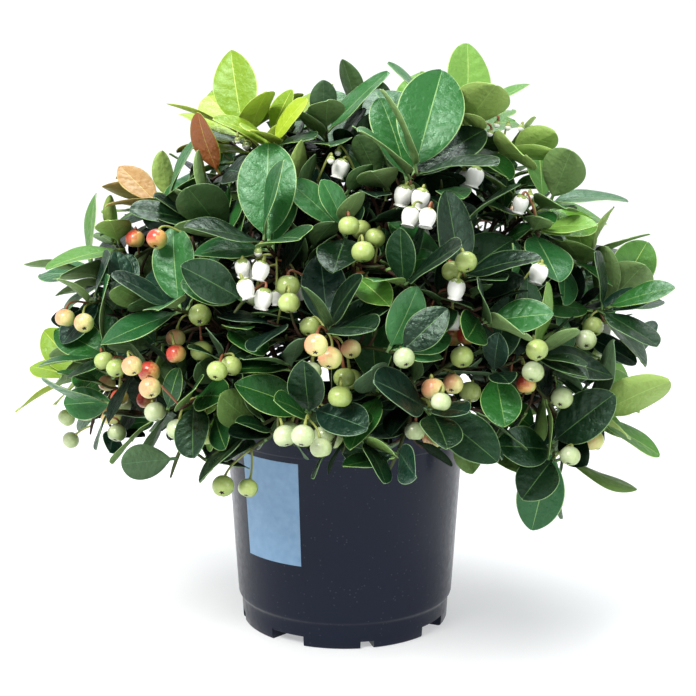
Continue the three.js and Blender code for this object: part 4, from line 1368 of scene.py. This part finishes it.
# %% Making the leaves
piles = {tint: Pile() for tint in TINTS}
inner = {tint: Pile() for tint in TINTS}
for leaf in leaves:
    tint = tint_of(leaf)
    shade = int(tint_draw() * BLADE_SHADES)
    rank = leaf["shoot"].rank
    pile = piles[tint] if rank in ("lead", "side") else inner[tint]
    add_leaf(pile, leaf, GRIDS[rank], shade)
foliage = [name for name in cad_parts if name.startswith("foliage_")]
for label, group in (("leaves", piles), ("spur_leaves", inner)):
    for tint, pile in group.items():
        if pile.count:
            piece = pile.piece(f"{label}_{tint}", leaf_materials[tint])
            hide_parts(*foliage)

# %% [markdown]
# ## Stems and twigs
# The stems are brown, thin and woody, with shallow ridges along them and small swellings
# where leaves once stood. Young twigs are smoother and turn green to reddish at their tips.
# Each is a tube of rings along its curve, with the relief worked into the rings themselves,
# because a bump alone would vanish at the silhouette.

# %% Bark finishes
bark = grained(
    "bark", (60, 43, 31), 0.85, (900.0, 6.0), bump=(0.0004, 0.6),
    tints=((38, 27, 21), (88, 67, 49)), Specular_IOR_Level=0.2,
)
TWIG_GRAIN = (900.0, 3.0)
twig_green, twig_red = [
    grained(name, colour, 0.6, TWIG_GRAIN, bump=(0.0002, 0.4), Specular_IOR_Level=0.25)
    for name, colour in (("twig_green", (58, 66, 32)), ("twig_red", (54, 34, 24)))
]


# %% Bark relief
RIDGES, RIDGE_SHARE = (2, 3, 5), 0.5
RIDGE_TURNS = [0.1, 0.4]
KNOT_EVERY = 6


def bark_relief(rows, sides, seed, depth):
    """Ridges that wander along a stem, and a swelling at every sixth ring."""
    draw = Draws(seed)
    row, side = np.meshgrid(np.arange(rows), np.arange(sides), indexing="ij")
    angle = side * 2 * math.pi / sides
    ridges = 0
    for n in RIDGES:
        turn = row * mix(*RIDGE_TURNS, draw())
        ridges = ridges + np.sin(angle * n + turn + draw() * ANY_PHASE) / n
    knots = np.where(row % KNOT_EVERY == KNOT_EVERY // 2, 1.0, 0.0)
    return depth * (RIDGE_SHARE * ridges + knots)


# %% Stems
stem_pile = Pile()
STEM_RINGS, STEM_SIDES = 42, 10
STEM_RELIEF = 0.16
STEM_OVERLAP = 0.004
for mass in masses:
    shares = np.linspace(0, STEM_FORK + STEM_OVERLAP, STEM_RINGS)
    radii = np.linspace(*STEM_RADII, STEM_RINGS)
    relief = bark_relief(STEM_RINGS, STEM_SIDES, SEED + mass.index, STEM_RELIEF)
    rings = tube_rings(mass.path, shares, radii, STEM_SIDES, relief)
    rings[0][:, 2] = mass.path.start[2]
    add_turned(stem_pile, rings, np.zeros(STEM_RINGS - 1, int))
stems = stem_pile.piece("stems", [bark])
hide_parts(*[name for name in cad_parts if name.startswith("stem_")])

# %% The root crown
crown_pile = Pile()
CROWN_RINGS, CROWN_SIDES = 18, 36
CROWN_RELIEF = 0.5
levels = np.linspace(0, 1, CROWN_RINGS)
crown_radii = np.interp(levels, [0, 0.5, 1], ROOT_CROWN_RADII)
crown_relief = bark_relief(CROWN_RINGS, CROWN_SIDES, SEED + 99, CROWN_RELIEF)
cosines, sines = turns(CROWN_SIDES)
crown_rings = []
for level, radius, relief in zip(levels, crown_radii, crown_relief):
    reach = radius + relief[:, None]
    height = SOIL_LEVEL + CLEARANCE + ROOT_CROWN_HEIGHT * level
    crown_rings.append(np.hstack([reach * cosines, reach * sines, np.full_like(reach, height)]))
add_turned(crown_pile, crown_rings, np.zeros(CROWN_RINGS - 1, int))
root_crown = crown_pile.piece("root_crown_bark", [bark], sharp=50)
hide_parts("root_crown")

# %% Twigs
twig_pile = Pile()
TWIG_SIDES = 7
TWIG_RINGS = {"lead": 18, "side": 12, "spur": 5, "inner": 5}
TWIG_RELIEF = 0.08
TWIG_BLUNT = 0.6
TWIG_SWELL = 1.02
TWIG_OVERLAP = 0.01
WOODY_LEAD, WOODY_SIDE = 0.55, 0.35
for mass in masses:
    for shoot in mass.shoots:
        twig, rows, kind = shoot.twig, TWIG_RINGS[shoot.rank], mass.index + len(shoot.leaves)
        shares = np.linspace(max(0.0, twig.start - TWIG_OVERLAP), 1, rows)
        radii = np.linspace(*twig.radii, rows) * TWIG_SWELL
        radii[-1] *= TWIG_BLUNT
        relief = bark_relief(rows, TWIG_SIDES, SEED + kind, TWIG_RELIEF)
        rings = tube_rings(twig.curve, shares, radii, TWIG_SIDES, relief)
        tip_slot = 2 if kind % 3 == 0 else 1
        woody = WOODY_LEAD if shoot.rank == "lead" else WOODY_SIDE
        slots = np.where(np.linspace(0, 1, rows - 1) < woody, 0, tip_slot)
        add_turned(twig_pile, rings, slots)
twigs = twig_pile.piece("twigs", [bark, twig_green, twig_red])
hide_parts(*foliage)

# %% [markdown]
# ## Berries
# A wintergreen berry is a fleshy calyx round the true fruit: nearly a ball, flattened at the
# stalk, with five lobes that close over a small star-shaped pit at its free end, painted dark
# as shade in the hole. Most here are still green or cream, and some blush red on the side to
# the light. The ball is turned from a profile, the lobes are pressed in near its end, and the
# colour is dealt out face by face by how each face turns to the lamp: every berry is painted
# darker on the side away from it and lighter towards it, as painted light and shade, and on
# the peach and blush ones the lit side also takes the real red blush.


# %% Berry finishes
SKIN_GRAIN = (1200.0, 2.0)
SKIN_BUMP = (0.0001, 0.3)


def skin_finish(name, colour):
    return grained(
        name, colour, 0.32, SKIN_GRAIN, bump=SKIN_BUMP, Coat_Weight=0.3,
        Subsurface_Weight=0.15, Subsurface_Radius=(0.002, 0.0015, 0.0006),
    )


# Each list runs from the shaded side's colour to the lit side's: the steps are painted shade and
# painted light, and on peach and blush berries the lit end is also a real red blush.
BERRY_SHADED_TO_LIT = {
    "green": [(140, 162, 80), (162, 180, 98), (178, 194, 118)],
    "cream": [(162, 182, 118), (180, 196, 142), (200, 210, 170)],
    "peach": [(200, 208, 122), (220, 206, 136), (226, 164, 120)],
    "blush": [(198, 198, 106), (218, 166, 96), (192, 70, 56)],
}
SHADES = 8
# The pit at a berry's free end is painted dark brown, as painted shade in the hole.
HOLE_SHADE = skin_finish("berry_hole_shade", (44, 28, 24))


def shaded_to_lit_skins(kind, skins):
    """Painted shade from the shaded side's colour, through the middle one, to painted light on the
    sunny side's; the peach and blush ones also redden there with a real blush.
    """
    shares = np.linspace(0, 1, SHADES // 2)
    steps = [mix(*skins[k : k + 2], share) for k in (0, 1) for share in shares]
    return [skin_finish(f"berry_{kind}_{k}", step) for k, step in enumerate(steps)]


berry_materials = {
    kind: shaded_to_lit_skins(kind, np.array(skins, float)) + [HOLE_SHADE] for kind, skins in BERRY_SHADED_TO_LIT.items()
}
SUNNY = unit(np.array([-0.75, -0.3, 0.6]))


# %% Berry shape
BERRY_SIDES, BERRY_RINGS = 20, 13
BERRY_ENDS = 0.12, math.pi - 0.22
BERRY_FULLNESS = 0.86
LOBES, LOBE_DEPTH = 5, 0.1
LOBES_FROM, LOBES_SPAN = 1.9, 1.1
END_SUNK = 0.12
STAR_SIZE, STAR_POINTS = 0.2, 0.45
LIP_AT, PIT_AT, PIT_SIZE = 0.93, 0.8, 0.6
UNEVEN_WAY, UNEVEN = np.array([1.7, 2.3, 1.1]), 0.12
RIPENESS_SPREAD = 0.5
SHADY_SIDE, SUNNY_SPAN = 0.7, 1.6
berry_draw = Draws(SEED * 13)


def add_berry(pile, one):
    """A lobed berry at the end of its stalk, with its slots dealt out by the light."""
    stalk, size = one["stalk"], one["size"]
    axis = stalk.slope(1)
    aside = stalk.square
    other = np.cross(axis, aside)
    length = size * FRUIT["berry"]["length"]
    polar = np.linspace(*BERRY_ENDS, BERRY_RINGS)[:, None]
    angle = 2 * math.pi * np.arange(BERRY_SIDES)[None, :] / BERRY_SIDES + berry_draw() * ANY_PHASE
    end = np.clip((polar - LOBES_FROM) / LOBES_SPAN, 0, 1)
    lobes = 1 - LOBE_DEPTH * end * (0.5 + 0.5 * np.cos(LOBES * angle))
    radius = size * np.sin(polar) ** BERRY_FULLNESS * lobes
    way = length / 2 * (1 - np.cos(polar)) - END_SUNK * size * end**3
    way = way + np.zeros_like(angle)
    centre = stalk.point(1)
    rings = centre + axis * way[..., None]
    rings = rings + aside * (radius * np.cos(angle))[..., None]
    rings = rings + other * (radius * np.sin(angle))[..., None]
    star = STAR_SIZE * size * (1 + STAR_POINTS * np.cos(LOBES * angle[0]))
    star = np.outer(star * np.cos(angle[0]), aside) + np.outer(star * np.sin(angle[0]), other)
    lip = centre + axis * (length * LIP_AT) + star
    pit = centre + axis * (length * PIT_AT) + star * PIT_SIZE
    rings = np.concatenate([rings, lip[None], pit[None]])
    rows = len(rings)
    middle = centre + axis * length / 2
    faces = grid_faces(rows, BERRY_SIDES, True)
    points = rings.reshape(-1, 3)
    middles = points[faces].mean(axis=1)
    # The slot follows how the face turns to the lamp's side: painted light where it faces it, painted
    # shade away from it, and a real blush as well on peach and blush berries.
    facing = (middles - middle) @ SUNNY / size
    noise = np.sin(middles @ UNEVEN_WAY) * UNEVEN
    light_and_blush = (facing + noise + berry_draw.jitter(RIPENESS_SPREAD) + SHADY_SIDE) / SUNNY_SPAN
    # blush holds the slot of painted light and shade, and of the real blush on peach and blush
    # berries.
    blush = np.clip(light_and_blush * SHADES, 0, SHADES - 1).astype(int)
    row = np.arange(len(faces)) // BERRY_SIDES
    # The lip and pit rows take the dark painted shade of the hole.
    slots = np.where(row >= BERRY_RINGS, SHADES, blush)
    start = pile.count
    pile.add(points, faces, slots)
    pile.add_faces([np.arange(BERRY_SIDES)[::-1]], 0, start)
    pile.add_faces([np.arange(BERRY_SIDES) + (rows - 1) * BERRY_SIDES], SHADES, start)


# %% Making the berries
berry_piles = {kind: Pile() for kind in BERRY_SHADED_TO_LIT}
for one in fruit:
    if one["kind"] == "berry":
        add_berry(berry_piles[one["tone"]], one)
for kind, pile in berry_piles.items():
    piece = pile.piece(f"berries_{kind}", berry_materials[kind])
    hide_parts(*foliage)

# %% [markdown]
# ## Flowers
# The flowers are small white urns that hang mouth down, narrow at the mouth, with five tiny
# lobes that curl out and a green calyx at the stalk. One profile turned round the stalk's
# end makes the urn, outside and inside, with five soft ribs, so the mouth is really open.

# %% Flower finishes
petal = grained(
    "petal", (244, 244, 236), 0.45, (1500.0, 2.0), bump=SKIN_BUMP,
    Subsurface_Weight=0.2, Subsurface_Radius=(0.002, 0.002, 0.0018),
)
calyx = skin_finish("calyx", (150, 168, 92))
stalk_skin, stalk_red = [
    grained(name, colour, 0.5, (900.0, 2.0), bump=SKIN_BUMP)
    for name, colour in (("fruit_stalk", (148, 156, 80)), ("fruit_stalk_red", (138, 84, 56)))
]

# %% Flower shape: profiles of (radius, way along the stalk), as shares of the flower's size
URN_SIDES = 20
URN_RIBS = 5
LOBE_PRESS = 2.2
NO_LOBES = 9
URN_OUTSIDE = [(0.25, 0.04), (0.64, 0.14), (0.92, 0.4), (1.02, 0.75), (1.02, 1.15), (0.93, 1.55),
               (0.8, 1.88), (0.7, 2.04), (0.77, 2.15), (0.88, 2.2)]
URN_INSIDE = [(0.84, 2.26), (0.7, 2.18), (0.61, 2.04), (0.7, 1.84), (0.82, 1.5), (0.84, 0.8)]
URN = URN_OUTSIDE + URN_INSIDE
CUP = [(0.12, -0.12), (0.42, -0.05), (0.66, 0.08), (0.8, 0.24), (0.72, 0.24), (0.5, 0.08)]
BUD = [(0.2, -0.1), (0.7, 0.1), (0.95, 0.5), (0.9, 0.9), (0.95, 1.0), (0.8, 1.4), (0.45, 1.75),
       (0.1, 1.9)]
PETAL, CALYX = 0, 1
FLOWER_PARTS = {
    "berry": [],
    "bud": [(BUD, [CALYX] * 3 + [PETAL] * 4, 0.06, NO_LOBES)],
    "bell": [(URN, [PETAL] * (len(URN) - 1), 0.05, 2.1), (CUP, [CALYX] * (len(CUP) - 1), 0.16, 0.3)],
}


def flower_rings(stalk, size, profile, depth, lobes_from):
    """A profile turned round a stalk's end, pressed in between its ribs."""
    angle = 2 * math.pi * np.arange(URN_SIDES)[:, None] / URN_SIDES
    valleys = 0.5 - 0.5 * np.cos(URN_RIBS * angle)
    rings = []
    for radius, way in profile:
        press = depth * (LOBE_PRESS if way > lobes_from else 1.0)
        reach = size * radius * (1 - press * valleys)
        rings.append(ring_round(stalk, 1, reach, URN_SIDES, size * way))
    return rings


# %% Making the flowers and the stalks
FRUIT_STALK_RADII = [0.5] * 7 + [0.62, 0.8]
FRUIT_STALK_SIDES = 7
RED_STALK_EVERY = 4
flower_pile, stalk_pile = Pile(), Pile()
for index, one in enumerate(fruit):
    shares = np.linspace(0, 1, len(FRUIT_STALK_RADII))
    rings = tube_rings(one["stalk"], shares, FRUIT_STALK_RADII, FRUIT_STALK_SIDES)
    add_turned(stalk_pile, rings, [int(index % RED_STALK_EVERY == 0)] * (len(rings) - 1))
    for profile, slots, depth, lobes_from in FLOWER_PARTS[one["kind"]]:
        rings = flower_rings(one["stalk"], one["size"], profile, depth, lobes_from)
        add_turned(flower_pile, rings, slots)
flowers = flower_pile.piece("flowers", [petal, calyx])
stalks = stalk_pile.piece("fruit_stalks", [stalk_skin, stalk_red])
for piece in (flowers, stalks):
    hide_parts(*foliage)

# %% [markdown]
# ## The pot
# The pot is thin moulded plastic: a collar under a rounded rim, a wall that tapers to an
# inset foot, and notches under the foot that let water out. A profile turned in many steps
# gives the round wall. The notches are part of the same grid: a column of points that lies
# in a notch starts higher, and two columns close together make each upright side.

# %% Pot finish
POT_COLOUR, DUST_COLOUR = (18, 23, 39), (42, 46, 58)
pot_plastic = grained(
    "pot_plastic", POT_COLOUR, 0.4, (320.0, 5.0), bump=(0.0003, 0.25), rough=(0.28, 0.42),
    Specular_IOR_Level=0.12, Specular_Tint=(0.78, 0.88, 1.0, 1.0),
    Coat_Weight=0.35, Coat_Roughness=0.14, Coat_IOR=1.28,
)
pot_specks = add_mask(pot_plastic, SPECKS, Scale=560.0, Size=0.2, Share=0.3)
add_tint(pot_plastic, pot_specks, POT_COLOUR, DUST_COLOUR)

# %% Pot shape: each notch is its turn, width and height, and the rim's round is (inwards, up)
NOTCHES = [(-33, 18, 4.5), (12, 6.5, 3.2)]
NOTCH_PAIRS = 4
POT_COLUMNS = 160
NOTCH_SIDE = 0.04
RIM_ROUND = [(0, 0), (0.25, 0.55), (0.75, 0.93), (1.25, 0.93), (1.75, 0.55), (2.0, 0)]


def wall_radius(z):
    """The outside radius of the wall under the collar."""
    share = (z - FOOT_HEIGHT) / (POT_HEIGHT - COLLAR_HEIGHT - FOOT_HEIGHT)
    return mix(WALL_FOOT_RADIUS, WALL_TOP_RADIUS, share)


def pot_profile():
    """(radius, height, lifted) from the middle of the underside round to the floor inside."""
    shoulder, collar, lip = FOOT_HEIGHT + FOOT_SHOULDER, POT_HEIGHT - COLLAR_HEIGHT, POT_HEIGHT - 1
    under = [(0.5, 0, 0), (20, 0, 0), (FOOT_RADIUS - NOTCH_DEPTH - 0.05, 0, 0),
             (FOOT_RADIUS - NOTCH_DEPTH, 0, 1), (FOOT_RADIUS - 1.2, 0, 1),
             (FOOT_RADIUS - 0.35, 0.3, 1), (FOOT_RADIUS, 1.1, 1)]
    foot = [(mix(FOOT_RADIUS, FOOT_TOP_RADIUS, s), FOOT_HEIGHT * s, 0) for s in (0.45, 0.7, 0.93)]
    foot += [(FOOT_TOP_RADIUS + 0.15, FOOT_HEIGHT, 0),
             (FOOT_TOP_RADIUS + 0.7, FOOT_HEIGHT + 0.9, 0),
             (wall_radius(shoulder) - 0.2, shoulder - 0.4, 0),
             (wall_radius(shoulder), shoulder + 0.3, 0)]
    wall = [(wall_radius(z), z, 0) for z in np.linspace(shoulder + 2, collar - 1.2, 22)]
    wall += [(WALL_TOP_RADIUS, collar - 0.5, 0), (WALL_TOP_RADIUS + 0.35, collar - 0.1, 0)]
    rise = [(COLLAR_RADIUS - 0.4, collar, 0), (COLLAR_RADIUS, collar + 0.5, 0)]
    rise += [(mix(COLLAR_RADIUS, RIM_RADIUS, s), mix(collar, lip, s), 0) for s in (0.35, 0.7)]
    rim = [(RIM_RADIUS - inwards, lip + up, 0) for inwards, up in RIM_ROUND]
    inside = [(WALL_TOP_RADIUS - WALL_THICKNESS, collar, 0)]
    inside += [(wall_radius(z) - WALL_THICKNESS, z, 0) for z in (70, 40, shoulder)]
    floor = [(FOOT_TOP_RADIUS - WALL_THICKNESS, FLOOR_THICKNESS, 0), (0.5, FLOOR_THICKNESS, 0)]
    return under + foot + wall + rise + rim + inside + floor


def pot_columns():
    """(angle, lift) of each column: even steps, and a close pair at each notch's sides."""
    cuts = []
    for k in range(NOTCH_PAIRS):
        for turn, width, height in NOTCHES:
            half = math.degrees(math.asin(width / 2 / FOOT_RADIUS))
            centre = turn + 360 * k / NOTCH_PAIRS
            cuts.append((centre - half, centre + half, height))
    columns = []
    for step in range(POT_COLUMNS):
        angle = -180 + 360 * (step + 0.5) / POT_COLUMNS
        lifts = [height for low, high, height in cuts if (angle - low) % 360 < high - low]
        columns.append((angle, max(lifts, default=0)))
    for low, high, height in cuts:
        for angle, inner_side in ((low, 1), (high, -1)):
            angle = (angle + 180) % 360 - 180
            columns.append((angle - NOTCH_SIDE * inner_side, 0))
            columns.append((angle + NOTCH_SIDE * inner_side, height))
    return sorted(columns)


angles, lifts = np.array(pot_columns()).T
around = np.stack([np.sin(np.radians(angles)), -np.cos(np.radians(angles))], axis=1)
pot_rings = [
    np.hstack([radius * around, (height + lifted * lifts)[:, None]])
    for radius, height, lifted in pot_profile()
]
pot_pile = Pile()
add_turned(pot_pile, pot_rings, np.zeros(len(pot_rings) - 1, int))
pot = pot_pile.piece("pot_shell", [pot_plastic], sharp=32)
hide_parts("pot")

# %% [markdown]
# ## The printed patch
# A pale patch is printed on the wall, to the left of the front. It is kept blank. It is a
# thin curved plate that follows the wall and stands a hair proud of it, as a film of ink
# would, with a soft grain so that it reads as print on plastic and not as paper.

# %% Patch
PATCH_TURN = (-56, -22)
PATCH_HEIGHT = (41, 91)
PATCH_PROUD, PATCH_SUNK = 0.12, -0.3
PATCH_COLUMNS, PATCH_ROWS = 25, 13
patch_ink = grained(
    "patch_ink", (116, 152, 186), 0.5, (260.0, 5.0), tints=((102, 140, 177), (134, 168, 198))
)
patch_pile = Pile()
faces = grid_faces(PATCH_ROWS, PATCH_COLUMNS, False)
for proud, flip in ((PATCH_PROUD, False), (PATCH_SUNK, True)):
    points = [
        heading(turn, 0) * (wall_radius(z) + proud) + UP * z
        for z in np.linspace(*PATCH_HEIGHT, PATCH_ROWS)
        for turn in np.linspace(*PATCH_TURN, PATCH_COLUMNS)
    ]
    patch_pile.add(points, faces[:, ::-1] if flip else faces, 0)
side_low = np.arange(PATCH_COLUMNS)
side_high = side_low + (PATCH_ROWS - 1) * PATCH_COLUMNS
side_left = np.arange(PATCH_ROWS) * PATCH_COLUMNS
side_right = side_left + PATCH_COLUMNS - 1
behind = PATCH_ROWS * PATCH_COLUMNS
for line, flip in ((side_low, False), (side_high, True), (side_left, True), (side_right, False)):
    strip = np.stack([line[:-1], line[:-1] + behind, line[1:] + behind, line[1:]], axis=1)
    patch_pile.add_faces(strip[:, ::-1] if flip else strip, 0, 0)
patch = patch_pile.piece("print_patch", [patch_ink], sharp=40)

# %% [markdown]
# ## The potting mix
# The mix fills the pot to just below the rim: dark peat with crumbs, bark chips and a few
# grains of perlite. A disc of points heaved by a few waves makes the surface, over a skirt
# that closes it inside the pot, and a few hundred small lumps are pressed into it.

# %% Mix finishes
mix_brown = grained(
    "potting_mix", (50, 34, 24), 0.95, (500.0, 8.0), bump=(0.0012, 0.9),
    tints=((28, 18, 12), (82, 58, 40)),
)
perlite = grained("perlite", (206, 200, 188), 0.9, (1500.0, 4.0), bump=(0.0003, 0.6))

# %% Mix surface
soil_draw = Draws(SEED * 17)
SOIL_SIDES, SOIL_RINGS = 72, 26
SOIL_HEAVE = 0.9
WAVE_STEP = 1.6
SOIL_UNDERSIDE = 6.3
MIDDLE_RADIUS = 0.4
SOIL_GAP = 0.42
EDGE_DROP, EDGE_STEP = 3, 1.5
WAVES, WAVE_SPAN = 9, 0.5
waves = [
    (soil_draw() * WAVE_SPAN, soil_draw() * WAVE_SPAN, soil_draw() * ANY_PHASE)
    for _ in range(WAVES)
]


def soil_height(x, y):
    heave = sum(np.sin(x * a * WAVE_STEP + y * b * WAVE_STEP + c) for a, b, c in waves) / len(waves)
    return SOIL_LEVEL - SOIL_HEAVE + SOIL_HEAVE * heave


shoulder = FOOT_HEIGHT + FOOT_SHOULDER
inset = WALL_THICKNESS + SOIL_GAP
edge_level = SOIL_LEVEL - EDGE_DROP
soil_edge = wall_radius(edge_level) - inset
cosines, sines = turns(SOIL_SIDES)
skirt = [
    (MIDDLE_RADIUS, SOIL_UNDERSIDE),
    (FOOT_TOP_RADIUS - inset, SOIL_UNDERSIDE),
    (wall_radius(shoulder) - inset, shoulder),
    (soil_edge, edge_level),
]
soil_rings = [
    np.hstack([radius * cosines, radius * sines, np.full_like(cosines, height)])
    for radius, height in skirt
]
for radius in np.linspace(soil_edge - EDGE_STEP, MIDDLE_RADIUS, SOIL_RINGS):
    x, y = radius * cosines, radius * sines
    soil_rings.append(np.hstack([x, y, soil_height(x, y)]))
soil_pile = Pile()
add_turned(soil_pile, soil_rings, np.zeros(len(soil_rings) - 1, int))

# %% Crumbs and perlite
CRUMBS, CRUMB_SIDES = 520, 7
CRUMB_SIZES = [0.6, 2.1]
CRUMB_SQUASH = [0.4, 0.9]
CRUMB_ROUGHNESS = [0.75, 1.2]
CRUMB_PROFILE = [(-0.6, 0.55), (0, 1.0), (0.5, 0.75), (0.8, 0.3)]
CRUMB_LIFT = 0.15
EDGE_ROOM = 4
PERLITE_EVERY = 17
cosines, sines = turns(CRUMB_SIDES)
for k in range(CRUMBS):
    radius, bearing = (soil_edge - EDGE_ROOM) * math.sqrt(soil_draw()), soil_draw() * 2 * math.pi
    x, y = radius * math.cos(bearing), radius * math.sin(bearing)
    size = mix(*CRUMB_SIZES, soil_draw() ** 2)
    spin, squash = soil_draw() * ANY_PHASE, mix(*CRUMB_SQUASH, soil_draw())
    rings = []
    for level, wide in CRUMB_PROFILE:
        rough = np.array([mix(*CRUMB_ROUGHNESS, soil_draw()) for _ in range(CRUMB_SIDES)])[:, None]
        a = size * wide * rough * cosines
        b = size * wide * rough * sines * squash
        rings.append(np.hstack([
            x + a * math.cos(spin) - b * math.sin(spin),
            y + a * math.sin(spin) + b * math.cos(spin),
            np.full_like(a, soil_height(x, y) + size * level * squash + CRUMB_LIFT),
        ]))
    add_turned(soil_pile, rings, [int(k % PERLITE_EVERY == 0)] * (len(rings) - 1))
soil = soil_pile.piece("potting_mix_heap", [mix_brown, perlite], sharp=45)
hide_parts("soil")

# %% [markdown]
# ## Floor, light and camera
# The plant stands on a plain pale sweep that curves up behind it and glows a little, so that
# the shadows on it stay faint. Large soft lamps give the broad, pale sheen on the leaves and
# leave the inside of the crown dark. The camera looks slightly down from eighty centimetres,
# where the pot's rim and foot have the real ellipses.

# %% Sweep
sweep_white = finish(
    "sweep_white", (0.55, 0.555, 0.56, 1), 0.9,
    Emission_Color=(0.98, 0.99, 1.0, 1), Emission_Strength=0.42,
)
SWEEP_FRONT, SWEEP_BACK, SWEEP_BEND = -3.0, 1.2, 0.8
SWEEP_HALF_WIDTH, SWEEP_TOP = 4.0, 3.5
SWEEP_STEPS = 12
sweep_line = [(SWEEP_FRONT, 0.0), (SWEEP_BACK, 0.0)]
for angle in np.linspace(0.1, math.pi / 2, SWEEP_STEPS):
    sweep_line.append((SWEEP_BACK + SWEEP_BEND * math.sin(angle), SWEEP_BEND * (1 - math.cos(angle))))
sweep_line.append((SWEEP_BACK + SWEEP_BEND, SWEEP_TOP))
sweep_points = [(x, y, z) for y, z in sweep_line for x in (-SWEEP_HALF_WIDTH, SWEEP_HALF_WIDTH)]
sweep_mesh = bpy.data.meshes.new("sweep")
sweep_mesh.from_pydata(sweep_points, [], grid_faces(len(sweep_line), 2, False).tolist())
sweep_mesh.shade_smooth()
sweep_mesh.materials.append(sweep_white)
sweep = bpy.data.objects.new("sweep", sweep_mesh)
bpy.context.scene.collection.objects.link(sweep)


# %% Lamps: place, size, power and colour of each
AIM = (0, 0, 0.14)
LAMPS = {
    "key": ((-0.6, -0.9, 1.25), 0.7, 30, (1.0, 0.99, 0.97)),
    "fill": ((1.2, -0.9, 0.6), 1.0, 7, (0.94, 0.97, 1.0)),
    "top": ((0.1, 0.45, 1.4), 0.9, 18, (0.97, 0.99, 1.0)),
}
for name, (place, size, power, colour) in LAMPS.items():
    light = bpy.data.lights.new(name, "AREA")
    light.shape, light.size, light.energy, light.color = "DISK", size, power, colour
    lamp = bpy.data.objects.new(name, light)
    lamp.location = place
    lamp.rotation_euler = (Vector(AIM) - Vector(place)).to_track_quat("-Z", "Y").to_euler()
    bpy.context.scene.collection.objects.link(lamp)
world = bpy.data.worlds.new("studio")
world.use_nodes = True
sky = world.node_tree.nodes["Background"]
sky.inputs["Color"].default_value = (0.95, 0.97, 1.0, 1)
sky.inputs["Strength"].default_value = 0.55
bpy.context.scene.world = world
bpy.context.scene.view_settings.view_transform = "Standard"

# %% Camera
IMAGE_SIZE = 696
SENSOR = 36
lens = bpy.data.cameras.new("photo_camera")
lens.sensor_width = SENSOR
lens.lens = SENSOR * FOCAL_PIXELS / IMAGE_SIZE
lens.shift_x = (IMAGE_SIZE / 2 - TARGET_PIXEL[0]) / IMAGE_SIZE
lens.shift_y = (TARGET_PIXEL[1] - IMAGE_SIZE / 2) / IMAGE_SIZE
camera = bpy.data.objects.new("photo_camera", lens)
camera.location = CAMERA_PLACE * MM
camera.rotation_euler = Vector(-camera_side).to_track_quat("-Z", "Y").to_euler()
bpy.context.scene.collection.objects.link(camera)
bpy.context.scene.camera = camera
